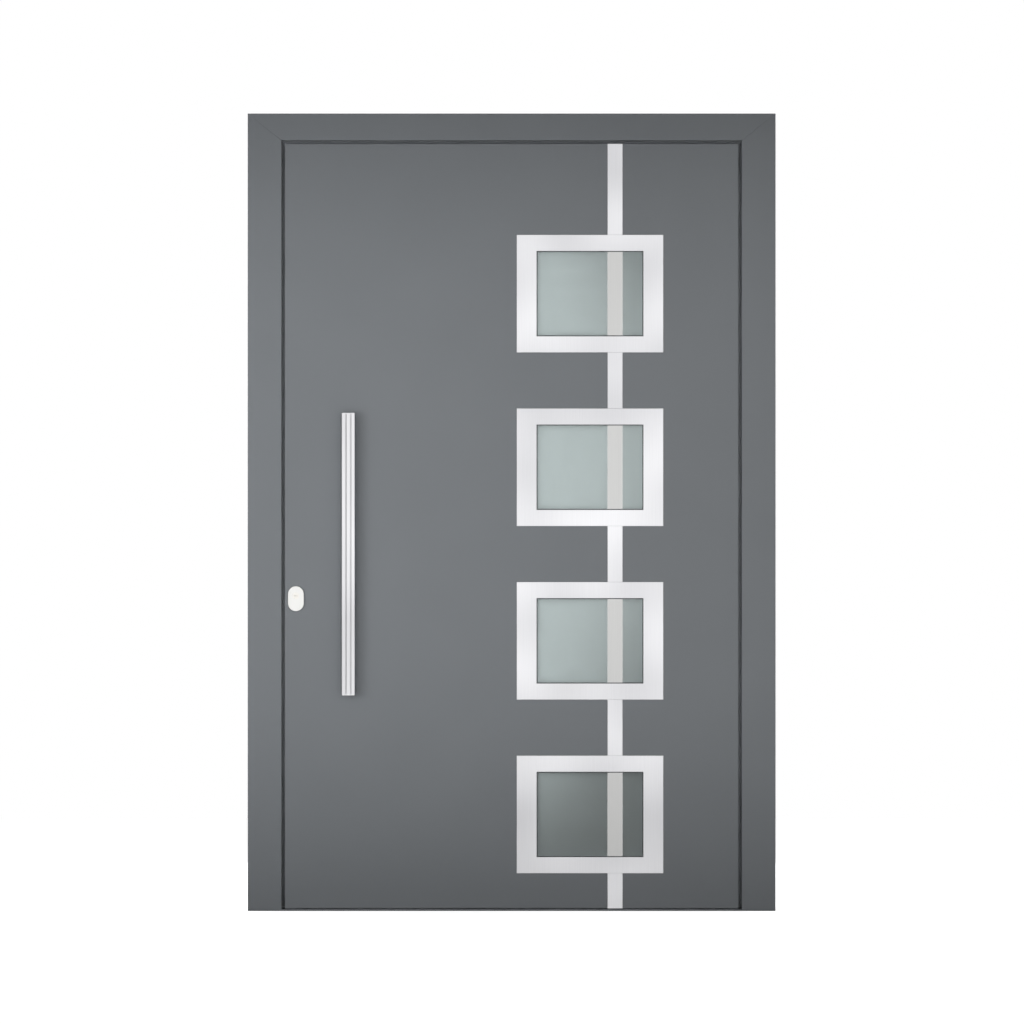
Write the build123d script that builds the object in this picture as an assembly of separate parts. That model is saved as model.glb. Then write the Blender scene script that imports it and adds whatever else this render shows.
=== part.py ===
from build123d import *
import os

# House entrance door in its frame: millimetres, outside is -Y, the lock is at -X, the hinges at +X

# Frame
FRAME_W = 1390.0
FRAME_H = 2100.0
FRAME_D = 84.0
JAMB_FACE = 89.0
HEAD_FACE = 71.0
STOP_W = 20.0
FRAME_OUTER_D = 32.0
BREAK_D = 24.0
SHADOW_GAP = 9.0
REBATE_GAP = 5.0
WALL = 2.0
BREAK_WALL = 4.5
EDGE_WALL = 5.0

# Polyamide bars between the shells
BAR_T = 4.0
BAR_FOOT_W = 7.0
BAR_FOOT_D = 2.5
BAR_INSET = 12.0

# Corner cleats
CLEAT_ARM = 80.0
CLEAT_CLEAR = 0.15

# Stop gasket
GASKET_INSET = 8.0
GASKET_W = 9.0
GASKET_R = 3.5
GASKET_BORE_R = 2.6
GASKET_NECK_W = 3.0
GASKET_NECK_D = 1.0
GASKET_FOOT_W = 6.0
GASKET_FOOT_D = 2.0
SEAL_CLEAR = 0.3

# Threshold plate
SILL_T = 5.0
SILL_GROOVE_W = 3.0
SILL_GROOVE_D = 1.0
SILL_GROOVE_PITCH = 9.0
LEAF_CLEAR = 2.0

# Fixing holes through the inner shells of the jambs
FIXING_R = 5.0
FIXING_LOW_Z = 150.0
FIXING_TOP = 200.0

# Leaf
SHEET_T = 3.0
LEAF_OUTER_D = 19.0
STILE_W = 60.0
BOTTOM_RAIL_H = 84.0

# Windows and the steel inlay
WINDOW_INSET = 390.7
WINDOW_TOP = 239.35
WINDOW_BOTTOM = 92.35
WINDOW_PLACE_SHARES = (0.0, 1 / 3, 2 / 3, 1.0)
TRIM_GAP = 147.1
TRIM_W = 386.5
TRIM_SIDE = 53.0
TRIM_BAR = 43.0
TRIM_T = 2.0
TRIM_CHAMFER = 0.5
STRIP_W = 40.0
STRIP_OFFSET = 66.0
PANE_EDGE = 15.0
PANE_CLEAR = 3.0
OUTER_PANE_T = 6.0
INNER_PANE_T = 4.0
CAVITY_D = 16.0
SPACER_W = 12.0
TAPE_T = 2.0
TAPE_SHOWS = 2.0
PANE_STRIP_T = 1.0
LINER_T = 3.0
LINER_CLEAR = 0.5

# Pull bar
PULL_INSET = 167.7
PULL_LENGTH = 742.0
PULL_W = 35.0
PULL_DEPTH = 28.0
PULL_CROWN = 1.0
PULL_EDGE_R = 1.5
PULL_GROOVE_W = 5.0
PULL_GROOVE_X = 6.5
PULL_GROOVE_D = 0.9
PULL_CAP_T = 3.0
POST_R = 11.0
POST_LENGTH = 48.0
POST_OFFSET = 250.0
POST_FOOT_R = 16.0
POST_FOOT_T = 4.0
STUD_R = 4.0
STUD_IN_POST = 30.0
INSERT_R = 13.0
INSERT_D = 20.0
STUD_HOLE_CLEAR = 0.5

# Lock
LOCK_Y = 27.0
BACKSET = 53.0
CYLINDER_Z = 830.0
LEVER_RISE = 92.0
PLATE_W = 20.0
PLATE_T = 3.0
PLATE_CLEAR = 0.1
FACEPLATE_LOW_Z = 60.0
FACEPLATE_TOP = 70.0
CASE_DEPTH = 72.5
CASE_T = 16.0
CASE_WALL = 2.0
CASE_BELOW = 40.0
CASE_ABOVE = 160.0
CASE_CLEAR = 0.3
BOLT_CLEAR = 0.3
DEADBOLT_RISE = 42.0
DEADBOLT_H = 34.0
DEADBOLT_LENGTH = 52.0
DEADBOLT_CHAMFER = 1.0
BOLT_THROW = 20.0
LATCH_RISE = 125.0
LATCH_H = 24.0
LATCH_LENGTH = 44.0
LATCH_BEVEL = 9.0
PIN_BOLT_R = 5.7
PIN_BOLT_LENGTH = 46.0
PIN_BOLT_DOME = 1.2
AUX_LOW_Z = 300.0
AUX_TOP = 320.0
AUX_CASE_H = 120.0
AUX_CASE_DEPTH = 55.0
STRIKE_END = 22.0
STRIKE_POCKET_CLEAR = 1.5

# Cylinder, with its plug, cam and thumb turn
BARREL_R = 8.5
WEB_W = 10.0
WEB_DROP = 19.5
PROFILE_CLEAR = 1.0
PLUG_R = 6.5
PLUG_FIT = 0.05
CAM_W = 9.4
CAM_NOTCH_W = 10.0
CAM_RING_R = 8.3
CAM_REACH = 15.5
CAM_NOSE_W = 7.0
CAM_BRIDGE_H = 6.5
KEY_SLOT_W = 9.0
KEY_SLOT_H = 2.2
KEY_SLOT_D = 22.0
ROTOR_R = 9.0
ROTOR_FIT = 0.1
ROTOR_INSET = 0.4
KNOB_R = 15.0
KNOB_DISC_T = 9.0
KNOB_GRIP_W = 10.0
KNOB_GRIP_D = 18.0
KNOB_GAP = 1.5
KNOB_CHAMFER = 1.5

# Escutcheons
ESC_W = 43.0
ESC_H = 67.0
ESC_DROP = 7.5
ESC_T = 10.0
ESC_SKIN = 5.0
ESC_CHAMFER = 1.0
ESC_RING_INSET = 6.0
ESC_RING_W = 1.0
ESC_RING_D = 0.5
INNER_ESC_T = 8.0

# Lever handle
ROSE_R = 26.0
ROSE_T = 9.0
ROSE_CHAMFER = 2.0
NECK_R = 10.0
NECK_FIT = 0.05
NECK_START = 3.0
LEVER_STAND = 38.0
LEVER_LENGTH = 126.0
LEVER_H = 21.0
LEVER_T = 13.0
LEVER_ROUND = 4.0
SPINDLE_W = 8.0
SPINDLE_IN_NECK = 20.0
FOLLOWER_R = 13.0
FOLLOWER_BOSS_R = 9.0
FOLLOWER_FIT = 0.05
NECK_HOLE_CLEAR = 2.0

# Hinges
HINGE_STAND = 12.5
HINGE_R = 11.0
HINGE_H = 120.0
HINGE_ROUND = 4.0
LEAF_KNUCKLE_H = 51.0
KNUCKLE_GAP = 0.5
HINGE_PIN_R = 5.0
HINGE_PIN_FIT = 0.05
HINGE_CAP_R = 8.0
HINGE_CAP_T = 3.0
FLAG_T = 5.0
FRAME_FLAG_W = 58.0
LEAF_FLAG_W = 82.0
HINGE_LOW_Z = 220.0
HINGE_TOP = 190.0

# Drop-down seal in the bottom rail
SEAL_HOUSING_W = 14.0
SEAL_HOUSING_H = 31.0
SEAL_HOUSING_T = 1.2
SEAL_BAR_H = 15.0
SEAL_BAR_DROP = 5.0
SEAL_LIP_W = 7.0
SEAL_TOUCH = 0.4
SEAL_END = 1.0

# Places that follow from the sizes above
OVERRUN = FRAME_D
Y_OUT = -FRAME_D / 2
Y_IN = FRAME_D / 2
FRAME_BREAK_Y0 = Y_OUT + FRAME_OUTER_D
FRAME_BREAK_Y1 = FRAME_BREAK_Y0 + BREAK_D
LEAF_Y0 = Y_OUT + SHEET_T
LEAF_BREAK_Y0 = LEAF_Y0 + LEAF_OUTER_D
LEAF_BREAK_Y1 = LEAF_BREAK_Y0 + BREAK_D
LEAF_Y1 = Y_IN - SHEET_T
FRAME_X = FRAME_W / 2
STOP_X = FRAME_X - JAMB_FACE
STOP_Z = FRAME_H - HEAD_FACE
JAMB_INNER = JAMB_FACE - STOP_W
HEAD_INNER = HEAD_FACE * JAMB_INNER / JAMB_FACE
REBATE_X = FRAME_X - JAMB_INNER
REBATE_Z = FRAME_H - HEAD_INNER
LEAF_X = STOP_X - SHADOW_GAP
LEAF_Z = STOP_Z - SHADOW_GAP
LEAF_EDGE_X = REBATE_X - REBATE_GAP
LEAF_EDGE_Z = REBATE_Z - REBATE_GAP
LEAF_Z0 = SILL_T + LEAF_CLEAR
CORE_X = LEAF_X - STILE_W
CORE_Z0 = LEAF_Z0 + BOTTOM_RAIL_H
CORE_Z1 = LEAF_Z - STILE_W
WINDOW_COUNT = len(WINDOW_PLACE_SHARES)
WINDOW_BAND = LEAF_Z - WINDOW_TOP - LEAF_Z0 - WINDOW_BOTTOM
TRIM_H = (WINDOW_BAND - (WINDOW_COUNT - 1) * TRIM_GAP) / WINDOW_COUNT
VIEW_W = TRIM_W - 2 * TRIM_SIDE
VIEW_H = TRIM_H - 2 * TRIM_BAR
PANE_W = VIEW_W + 2 * PANE_EDGE
PANE_H = VIEW_H + 2 * PANE_EDGE
CUT_W = PANE_W + 2 * PANE_CLEAR
CUT_H = PANE_H + 2 * PANE_CLEAR
WINDOW_X = LEAF_X - WINDOW_INSET
WINDOW_HIGH_Z = LEAF_Z - WINDOW_TOP - TRIM_H / 2
WINDOW_LOW_Z = LEAF_Z0 + WINDOW_BOTTOM + TRIM_H / 2
WINDOW_Z = [WINDOW_HIGH_Z - share * (WINDOW_HIGH_Z - WINDOW_LOW_Z) for share in WINDOW_PLACE_SHARES]
STRIP_X = WINDOW_X + STRIP_OFFSET
OUTER_PANE_Y = Y_OUT + TAPE_T
CAVITY_Y = OUTER_PANE_Y + OUTER_PANE_T
INNER_PANE_Y = CAVITY_Y + CAVITY_D
LINER_Y = INNER_PANE_Y + INNER_PANE_T
PULL_X = -LEAF_X + PULL_INSET
PULL_Z = (WINDOW_HIGH_Z + WINDOW_LOW_Z) / 2
FIXING_HIGH_Z = FRAME_H - FIXING_TOP
LEVER_Z = CYLINDER_Z + LEVER_RISE
ESC_Z = CYLINDER_Z - ESC_DROP
DEADBOLT_Z = CYLINDER_Z + DEADBOLT_RISE
LATCH_Z = CYLINDER_Z + LATCH_RISE
FACEPLATE_X = -LEAF_EDGE_X
FACEPLATE_HIGH_Z = LEAF_Z - FACEPLATE_TOP
CYLINDER_X = FACEPLATE_X + BACKSET
AUX_HIGH_Z = LEAF_Z - AUX_TOP
CASE_X = FACEPLATE_X + PLATE_T
STRIKE_X = -REBATE_X
BOLT_T = CASE_T - 2 * CASE_WALL - 2 * BOLT_CLEAR
HINGE_AXIS_X = LEAF_EDGE_X + REBATE_GAP / 2
HINGE_Y = Y_IN + HINGE_STAND
HINGE_HIGH_Z = LEAF_Z - HINGE_TOP
HINGE_Z = (HINGE_LOW_Z, (HINGE_LOW_Z + HINGE_HIGH_Z) / 2, HINGE_HIGH_Z)


def block(x0, x1, y0, y1, z0, z1):
    """Box between two corners."""
    middle = Pos((x0 + x1) / 2, (y0 + y1) / 2, (z0 + z1) / 2)
    return middle * Box(x1 - x0, y1 - y0, z1 - z0)


def rect(u0, u1, v0, v1):
    """Flat rectangle between two corners."""
    return Pos((u0 + u1) / 2, (v0 + v1) / 2) * Rectangle(u1 - u0, v1 - v0)


def polygon(points):
    """Flat face inside a closed outline."""
    return make_face(Polyline(*points, close=True))


def along_y(sketch, x, z, y0, y1):
    """Sketch of (x, z) set at a place on the door and run from y0 to y1."""
    plane = Plane(origin=(x, y0, z), x_dir=(1, 0, 0), z_dir=(0, -1, 0))
    return extrude(plane * sketch, amount=y0 - y1)


def along_x(sketch, x0, x1, y=0, z=0):
    """Sketch of (y, z) run from x0 to x1."""
    plane = Plane(origin=(x0, y, z), x_dir=(0, 1, 0), z_dir=(1, 0, 0))
    return extrude(plane * sketch, amount=x1 - x0)


def along_z(sketch, z0, z1, x=0, y=0):
    """Sketch of (x, y) run from z0 to z1."""
    return extrude(Pos(x, y, z0) * sketch, amount=z1 - z0)


def slab(outline, y0, y1):
    """Solid between two planes across the door, from an outline of (x, z) points."""
    return along_y(polygon(outline), 0, 0, y0, y1)


def ring(width, height, inner_width, inner_height, x, z, y0, y1):
    """Rectangular ring facing the street."""
    return along_y(Rectangle(width, height) - Rectangle(inner_width, inner_height), x, z, y0, y1)


def left_member(section, x_out, x_in, z_low, z_out, z_in):
    """Left upright of a section drawn from its outer edge inward, mitred at the top."""
    bar = along_z(section, z_low, z_out, x=-x_out)
    outline = [(-x_out, z_low), (-x_in, z_low), (-x_in, z_in), (-x_out, z_out)]
    return bar & slab(outline, -OVERRUN, OVERRUN)


def top_member(section, x_out, x_in, z_out, z_in):
    """Crosspiece of a section drawn from its upper edge down, mitred at both ends."""
    plane = Plane(origin=(-x_out, 0, z_out), x_dir=(0, 0, -1), z_dir=(1, 0, 0))
    bar = extrude(plane * section, amount=2 * x_out)
    outline = [(-x_out, z_out), (-x_in, z_in), (x_in, z_in), (x_out, z_out)]
    return bar & slab(outline, -OVERRUN, OVERRUN)


def mirrored(shape):
    """The same piece on the hinge side."""
    return mirror(shape, about=Plane.YZ)


def bar_section(u, y0, y1):
    """Polyamide bar with a dovetail foot at each edge."""
    half = BAR_T / 2
    foot = BAR_FOOT_W / 2
    right = [(u + foot, y0 - BAR_FOOT_D), (u + half, y0), (u + half, y1), (u + foot, y1 + BAR_FOOT_D)]
    left = [(2 * u - x, y) for x, y in reversed(right)]
    return polygon(right + left)


def tube(width, y0, y1, near, far, front, back):
    """Hollow rectangular section with its four wall thicknesses."""
    return rect(0, width, y0, y1) - rect(near, width - far, y0 + front, y1 - back)


def cut(shape, tools):
    """Take every tool out of a shape."""
    for tool in tools:
        shape = shape - tool
    return shape


def save(name, *shapes):
    """One file per node, with every solid of the given shapes."""
    solids = [solid for shape in shapes for solid in shape.solids()]
    export_step(Compound(solids), f"parts/{name}.step")


def profile_sketch(grow):
    """Cylinder profile: a round barrel over a straight web with a round foot."""
    barrel = Circle(BARREL_R + grow)
    web = rect(-WEB_W / 2 - grow, WEB_W / 2 + grow, -WEB_DROP, 0)
    foot = Pos(0, -WEB_DROP) * Circle(WEB_W / 2 + grow)
    return barrel + web + foot


def frame_bars():
    """Thermal bars of the jambs and the head."""
    def pair(inner_width):
        places = (BAR_INSET, inner_width - BAR_INSET)
        return [bar_section(u, FRAME_BREAK_Y0, FRAME_BREAK_Y1) for u in places]
    left = [left_member(s, FRAME_X, STOP_X, 0, FRAME_H, STOP_Z) for s in pair(JAMB_INNER)]
    top = [top_member(s, FRAME_X, STOP_X, FRAME_H, STOP_Z) for s in pair(HEAD_INNER)]
    return left, [mirrored(b) for b in left], top


def stop_gasket():
    """Bulb gasket on the back of the frame's outer shell, with its foot in the shell."""
    y0 = FRAME_BREAK_Y0
    y1 = LEAF_BREAK_Y1 - SEAL_CLEAR
    half = GASKET_W / 2
    bulb = Pos(half, (y0 + y1) / 2) * RectangleRounded(GASKET_W, y1 - y0, GASKET_R)
    bore = Pos(half, y1 - GASKET_R - GASKET_NECK_D) * Circle(GASKET_BORE_R)
    neck_y = y0 - GASKET_NECK_D
    neck = rect(half - GASKET_NECK_W / 2, half + GASKET_NECK_W / 2, neck_y, y0 + GASKET_R)
    foot = rect(half - GASKET_FOOT_W / 2, half + GASKET_FOOT_W / 2, neck_y - GASKET_FOOT_D, neck_y)
    section = bulb + neck + foot - bore
    x_out = STOP_X + GASKET_INSET + half
    z_out = STOP_Z + GASKET_INSET + half
    left = left_member(section, x_out, x_out - GASKET_W, SILL_T, z_out, z_out - GASKET_W)
    top = top_member(section, x_out, x_out - GASKET_W, z_out, z_out - GASKET_W)
    return [left, top, mirrored(left)]


def frame_outer_section(width):
    """Outer aluminium shell of the frame, from the wall side to the leaf."""
    return tube(width, Y_OUT, FRAME_BREAK_Y0, WALL, WALL, WALL, BREAK_WALL)


def hardware_groove(edge, inward):
    """Groove for lock and strike plates along a shell's edge."""
    half = PLATE_W / 2 + PLATE_CLEAR
    deep = edge + inward * PLATE_T
    return rect(min(edge, deep), max(edge, deep), LOCK_Y - half, LOCK_Y + half)


def frame_inner_section(width):
    """Inner aluminium shell of the frame, with the strike groove in its rebate wall."""
    shell = tube(width, FRAME_BREAK_Y1, Y_IN, WALL, EDGE_WALL, BREAK_WALL, WALL)
    return shell - hardware_groove(width, -1)


def corner_cleat(x_out, z_out, x_in, z_in, y0, y1):
    """L-shaped block that fills the chambers at a corner."""
    c = CLEAT_CLEAR
    x0, x1, z0, z1 = -x_out + c, -x_in - c, z_in + c, z_out - c
    end_x, end_z = x1 + CLEAT_ARM, z0 - CLEAT_ARM
    outline = [(x0, z1), (end_x, z1), (end_x, z0), (x1, z0), (x1, end_z), (x0, end_z)]
    return slab(outline, y0 + c, y1 - c)


def frame_cleats():
    """Cleats of both upper corners, in the outer and the inner shells."""
    outer = corner_cleat(FRAME_X - WALL, FRAME_H - WALL, STOP_X + WALL, STOP_Z + WALL,
                         Y_OUT + WALL, FRAME_BREAK_Y0 - BREAK_WALL)
    inner = corner_cleat(FRAME_X - WALL, FRAME_H - WALL, REBATE_X + EDGE_WALL, REBATE_Z + EDGE_WALL,
                         FRAME_BREAK_Y1 + BREAK_WALL, Y_IN - WALL)
    left = [outer, inner]
    return left + [mirrored(c) for c in left]


def threshold():
    """Flat ribbed plate between the jambs."""
    front = block(-STOP_X, STOP_X, Y_OUT, FRAME_BREAK_Y0, 0, SILL_T)
    back = block(-REBATE_X, REBATE_X, FRAME_BREAK_Y0, Y_IN, 0, SILL_T)
    plate = front + back
    count = int(FRAME_D / SILL_GROOVE_PITCH) - 1
    first = -SILL_GROOVE_PITCH * (count - 1) / 2
    half = SILL_GROOVE_W / 2
    for i in range(count):
        y = first + i * SILL_GROOVE_PITCH
        plate = plate - block(-STOP_X, STOP_X, y - half, y + half, SILL_T - SILL_GROOVE_D, OVERRUN)
    return plate


def strike_places():
    """Each strike plate's lowest and highest point, and the heights and sizes of its pockets."""
    main = [(DEADBOLT_Z, DEADBOLT_H), (LATCH_Z, LATCH_H)]
    low = DEADBOLT_Z - DEADBOLT_H / 2 - STRIKE_END
    high = LATCH_Z + LATCH_H / 2 + STRIKE_END
    places = [(low, high, main)]
    reach = PIN_BOLT_R + STRIKE_END
    for z in (AUX_LOW_Z, AUX_HIGH_Z):
        places.append((z - reach, z + reach, [(z, 2 * PIN_BOLT_R)]))
    return places


def strike_plates():
    """Strike plates in the jamb's groove, and the pockets for the bolts."""
    plates, pockets = [], []
    half = PLATE_W / 2
    room = BOLT_T / 2 + STRIKE_POCKET_CLEAR
    for low, high, holes in strike_places():
        plates.append(block(STRIKE_X - PLATE_T, STRIKE_X, LOCK_Y - half, LOCK_Y + half, low, high))
        for z, height in holes:
            reach = height / 2 + STRIKE_POCKET_CLEAR
            pockets.append(block(STRIKE_X - BOLT_THROW, STRIKE_X, LOCK_Y - room, LOCK_Y + room,
                                 z - reach, z + reach))
    return [cut(plate, pockets) for plate in plates], pockets


def hinge_side(sign, flag_width, z, spans):
    """One half of a hinge: a flag plate with its knuckles; sign +1 is the frame's half."""
    half = HINGE_H / 2
    near = HINGE_AXIS_X + sign * HINGE_R
    x0, x1 = sorted((near, HINGE_AXIS_X + sign * flag_width))
    flag = block(x0, x1, Y_IN, Y_IN + FLAG_T, z - half, z + half)
    corners = flag.edges().filter_by(Axis.Y).group_by(Axis.X)[-1 if sign > 0 else 0]
    flag = fillet(corners, HINGE_ROUND)
    for low, high in spans:
        knuckle = along_z(Circle(HINGE_R), low, high, HINGE_AXIS_X, HINGE_Y)
        x0, x1 = sorted((HINGE_AXIS_X, near))
        flag = flag + (knuckle + block(x0, x1, Y_IN, HINGE_Y, low, high))
    return flag


def hinges():
    """Frame halves, leaf halves and pins of the three hinges."""
    frame_halves, leaf_halves, pins = [], [], []
    half = HINGE_H / 2
    leaf_half = LEAF_KNUCKLE_H / 2
    inner = leaf_half + KNUCKLE_GAP
    for z in HINGE_Z:
        bore = along_z(Circle(HINGE_PIN_R), z - half, z + half, HINGE_AXIS_X, HINGE_Y)
        wide = along_z(Circle(HINGE_PIN_R + HINGE_PIN_FIT), z - half, z + half, HINGE_AXIS_X, HINGE_Y)
        frame_spans = [(z - half, z - inner), (z + inner, z + half)]
        frame_halves.append(hinge_side(1, FRAME_FLAG_W, z, frame_spans) - bore)
        leaf_halves.append(hinge_side(-1, LEAF_FLAG_W, z, [(z - leaf_half, z + leaf_half)]) - wide)
        cap = Circle(HINGE_CAP_R)
        pin = bore + along_z(cap, z + half, z + half + HINGE_CAP_T, HINGE_AXIS_X, HINGE_Y)
        pins.append(pin + along_z(cap, z - half - HINGE_CAP_T, z - half, HINGE_AXIS_X, HINGE_Y))
    return frame_halves, leaf_halves, pins


def leaf_bars():
    """Thermal bars of the leaf's four members."""
    y0, y1 = LEAF_BREAK_Y0, LEAF_BREAK_Y1
    pair = [bar_section(u, y0, y1) for u in (BAR_INSET, STILE_W - BAR_INSET)]
    left = [left_member(s, LEAF_X, CORE_X, LEAF_Z0, LEAF_Z, CORE_Z1) for s in pair]
    top = [top_member(s, LEAF_X, CORE_X, LEAF_Z, CORE_Z1) for s in pair]
    plane = Plane(origin=(-CORE_X, 0, CORE_Z0), x_dir=(0, 0, -1), z_dir=(1, 0, 0))
    low_pair = [bar_section(u, y0, y1) for u in (BAR_INSET, BOTTOM_RAIL_H - BAR_INSET)]
    bottom = [extrude(plane * s, amount=2 * CORE_X) for s in low_pair]
    return left, [mirrored(b) for b in left], top, bottom


def leaf_members(left_bars, right_bars, top_bars, bottom_bars):
    """Aluminium shells of the stiles and rails: the outer one and the wider inner one."""
    outer = tube(STILE_W, LEAF_Y0, LEAF_BREAK_Y0, WALL, WALL, WALL, BREAK_WALL)
    overlap = LEAF_EDGE_X - LEAF_X
    rise = LEAF_EDGE_Z - LEAF_Z

    def inner(width):
        shell = tube(width, LEAF_BREAK_Y1, LEAF_Y1, EDGE_WALL, WALL, BREAK_WALL, WALL)
        return shell - hardware_groove(0, 1)
    stile_outer = left_member(outer, LEAF_X, CORE_X, LEAF_Z0, LEAF_Z, CORE_Z1)
    stile_inner = left_member(inner(STILE_W + overlap), LEAF_EDGE_X, CORE_X, LEAF_Z0, LEAF_EDGE_Z, CORE_Z1)
    rail_outer = top_member(outer, LEAF_X, CORE_X, LEAF_Z, CORE_Z1)
    rail_inner = top_member(inner(STILE_W + rise), LEAF_EDGE_X, CORE_X, LEAF_EDGE_Z, CORE_Z1)
    left = [cut(s, left_bars + top_bars) for s in (stile_outer, stile_inner)]
    right = [cut(mirrored(s), right_bars + top_bars) for s in (stile_outer, stile_inner)]
    top = [cut(s, left_bars + right_bars + top_bars) for s in (rail_outer, rail_inner)]
    plane = Plane(origin=(-CORE_X, 0, CORE_Z0), x_dir=(0, 0, -1), z_dir=(1, 0, 0))
    low_outer = tube(BOTTOM_RAIL_H, LEAF_Y0, LEAF_BREAK_Y0, WALL, WALL, WALL, BREAK_WALL)
    low_inner = tube(BOTTOM_RAIL_H, LEAF_BREAK_Y1, LEAF_Y1, WALL, WALL, BREAK_WALL, WALL)
    half = SEAL_HOUSING_W / 2
    low_inner = low_inner - rect(BOTTOM_RAIL_H - SEAL_HOUSING_H, BOTTOM_RAIL_H, LOCK_Y - half, LOCK_Y + half)
    bottom = [cut(extrude(plane * s, amount=2 * CORE_X), bottom_bars) for s in (low_outer, low_inner)]
    return left, right, top, bottom


def leaf_cleats():
    """Cleats of the leaf's upper corners and connectors of its lower ones."""
    outer = corner_cleat(LEAF_X - WALL, LEAF_Z - WALL, CORE_X + WALL, CORE_Z1 + WALL,
                         LEAF_Y0 + WALL, LEAF_BREAK_Y0 - BREAK_WALL)
    inner = corner_cleat(LEAF_EDGE_X - EDGE_WALL, LEAF_EDGE_Z - EDGE_WALL, CORE_X + WALL, CORE_Z1 + WALL,
                         LEAF_BREAK_Y1 + BREAK_WALL, LEAF_Y1 - WALL)
    low = LEAF_Z0 + SEAL_HOUSING_H + CLEAT_CLEAR
    connector = block(-CORE_X, -CORE_X + CLEAT_ARM, LEAF_BREAK_Y1 + BREAK_WALL + CLEAT_CLEAR,
                      LEAF_Y1 - WALL - CLEAT_CLEAR, low, CORE_Z0 - WALL - CLEAT_CLEAR)
    left = [outer, inner, connector]
    return left + [mirrored(c) for c in left]


def windows():
    """Everything of the four windows, each kind as a list from the top window down."""
    kinds = {name: [] for name in ("trim", "tape", "outer", "spacer", "strip", "inner", "liner", "hole")}
    for z in WINDOW_Z:
        trim = ring(TRIM_W, TRIM_H, VIEW_W, VIEW_H, WINDOW_X, z, Y_OUT - TRIM_T, Y_OUT)
        kinds["trim"].append(chamfer(trim.faces().sort_by(Axis.Y)[0].edges(), TRIM_CHAMFER))
        kinds["tape"].append(ring(PANE_W, PANE_H, VIEW_W - 2 * TAPE_SHOWS, VIEW_H - 2 * TAPE_SHOWS,
                                  WINDOW_X, z, Y_OUT, OUTER_PANE_Y))
        pane = Rectangle(PANE_W, PANE_H)
        kinds["outer"].append(along_y(pane, WINDOW_X, z, OUTER_PANE_Y, CAVITY_Y))
        kinds["inner"].append(along_y(pane, WINDOW_X, z, INNER_PANE_Y, LINER_Y))
        kinds["spacer"].append(ring(PANE_W, PANE_H, PANE_W - 2 * SPACER_W, PANE_H - 2 * SPACER_W,
                                    WINDOW_X, z, CAVITY_Y, INNER_PANE_Y))
        strip = Rectangle(STRIP_W, VIEW_H - 2 * TAPE_SHOWS)
        kinds["strip"].append(along_y(strip, STRIP_X, z, OUTER_PANE_Y - PANE_STRIP_T, OUTER_PANE_Y))
        wall = ring(VIEW_W + 2 * LINER_T, VIEW_H + 2 * LINER_T, VIEW_W, VIEW_H, WINDOW_X, z, LINER_Y, Y_IN)
        foot_w, foot_h = CUT_W - 2 * LINER_CLEAR, CUT_H - 2 * LINER_CLEAR
        foot = ring(foot_w, foot_h, VIEW_W, VIEW_H, WINDOW_X, z, LINER_Y, LINER_Y + LINER_T)
        flange = ring(TRIM_W, TRIM_H, VIEW_W, VIEW_H, WINDOW_X, z, Y_IN, Y_IN + TRIM_T)
        flange = chamfer(flange.faces().sort_by(Axis.Y)[-1].edges(), TRIM_CHAMFER)
        kinds["liner"].append(wall + foot + flange)
        kinds["hole"].append(along_y(Rectangle(CUT_W, CUT_H), WINDOW_X, z, -OVERRUN, OVERRUN))
    return kinds


def steel_strips():
    """Strips between the trims, from the leaf's upper edge to its lower one."""
    ends = [LEAF_Z]
    for z in WINDOW_Z:
        ends += [z + TRIM_H / 2, z - TRIM_H / 2]
    ends.append(LEAF_Z0)
    strips = []
    half = STRIP_W / 2
    for high, low in zip(ends[0::2], ends[1::2]):
        strip = block(STRIP_X - half, STRIP_X + half, Y_OUT - TRIM_T, Y_OUT, low, high)
        strips.append(chamfer(strip.faces().sort_by(Axis.Y)[0].edges().filter_by(Axis.Z), TRIM_CHAMFER))
    return strips


def pull_bar():
    """Flat bar with a slight crown and two shallow grooves, its end caps, posts and studs."""
    back = Y_OUT - POST_LENGTH
    front = back - PULL_DEPTH
    shoulder = front + PULL_CROWN
    half = PULL_W / 2
    sides = Polyline((half, shoulder), (half, back), (-half, back), (-half, shoulder))
    crown = ThreePointArc((half, shoulder), (0, front), (-half, shoulder))
    outline = make_face([sides, crown])
    outline = fillet(outline.vertices(), PULL_EDGE_R)
    reach = PULL_GROOVE_W / 2
    grooves = [polygon([(x - reach, front), (x, front + PULL_GROOVE_D), (x + reach, front)])
               for x in (-PULL_GROOVE_X, PULL_GROOVE_X)]
    low = PULL_Z - PULL_LENGTH / 2
    high = PULL_Z + PULL_LENGTH / 2
    bar = along_z(cut(outline, grooves), low + PULL_CAP_T, high - PULL_CAP_T, PULL_X)
    cap_spans = ((low, low + PULL_CAP_T), (high - PULL_CAP_T, high))
    caps = [along_z(outline, z0, z1, PULL_X) for z0, z1 in cap_spans]
    posts, studs, holes = [], [], []
    for z in (PULL_Z - POST_OFFSET, PULL_Z + POST_OFFSET):
        post = along_y(Circle(POST_R), PULL_X, z, back, Y_OUT)
        post = post + along_y(Circle(POST_FOOT_R), PULL_X, z, Y_OUT - POST_FOOT_T, Y_OUT)
        stud = along_y(Circle(STUD_R), PULL_X, z, Y_OUT - STUD_IN_POST, LEAF_Y0)
        stud = stud + along_y(Circle(INSERT_R), PULL_X, z, LEAF_Y0, LEAF_Y0 + INSERT_D)
        posts.append(post - stud)
        studs.append(stud)
        holes.append(along_y(Circle(STUD_R + STUD_HOLE_CLEAR), PULL_X, z, Y_OUT, LEAF_Y0))
    return bar, caps, posts, studs, holes


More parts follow.
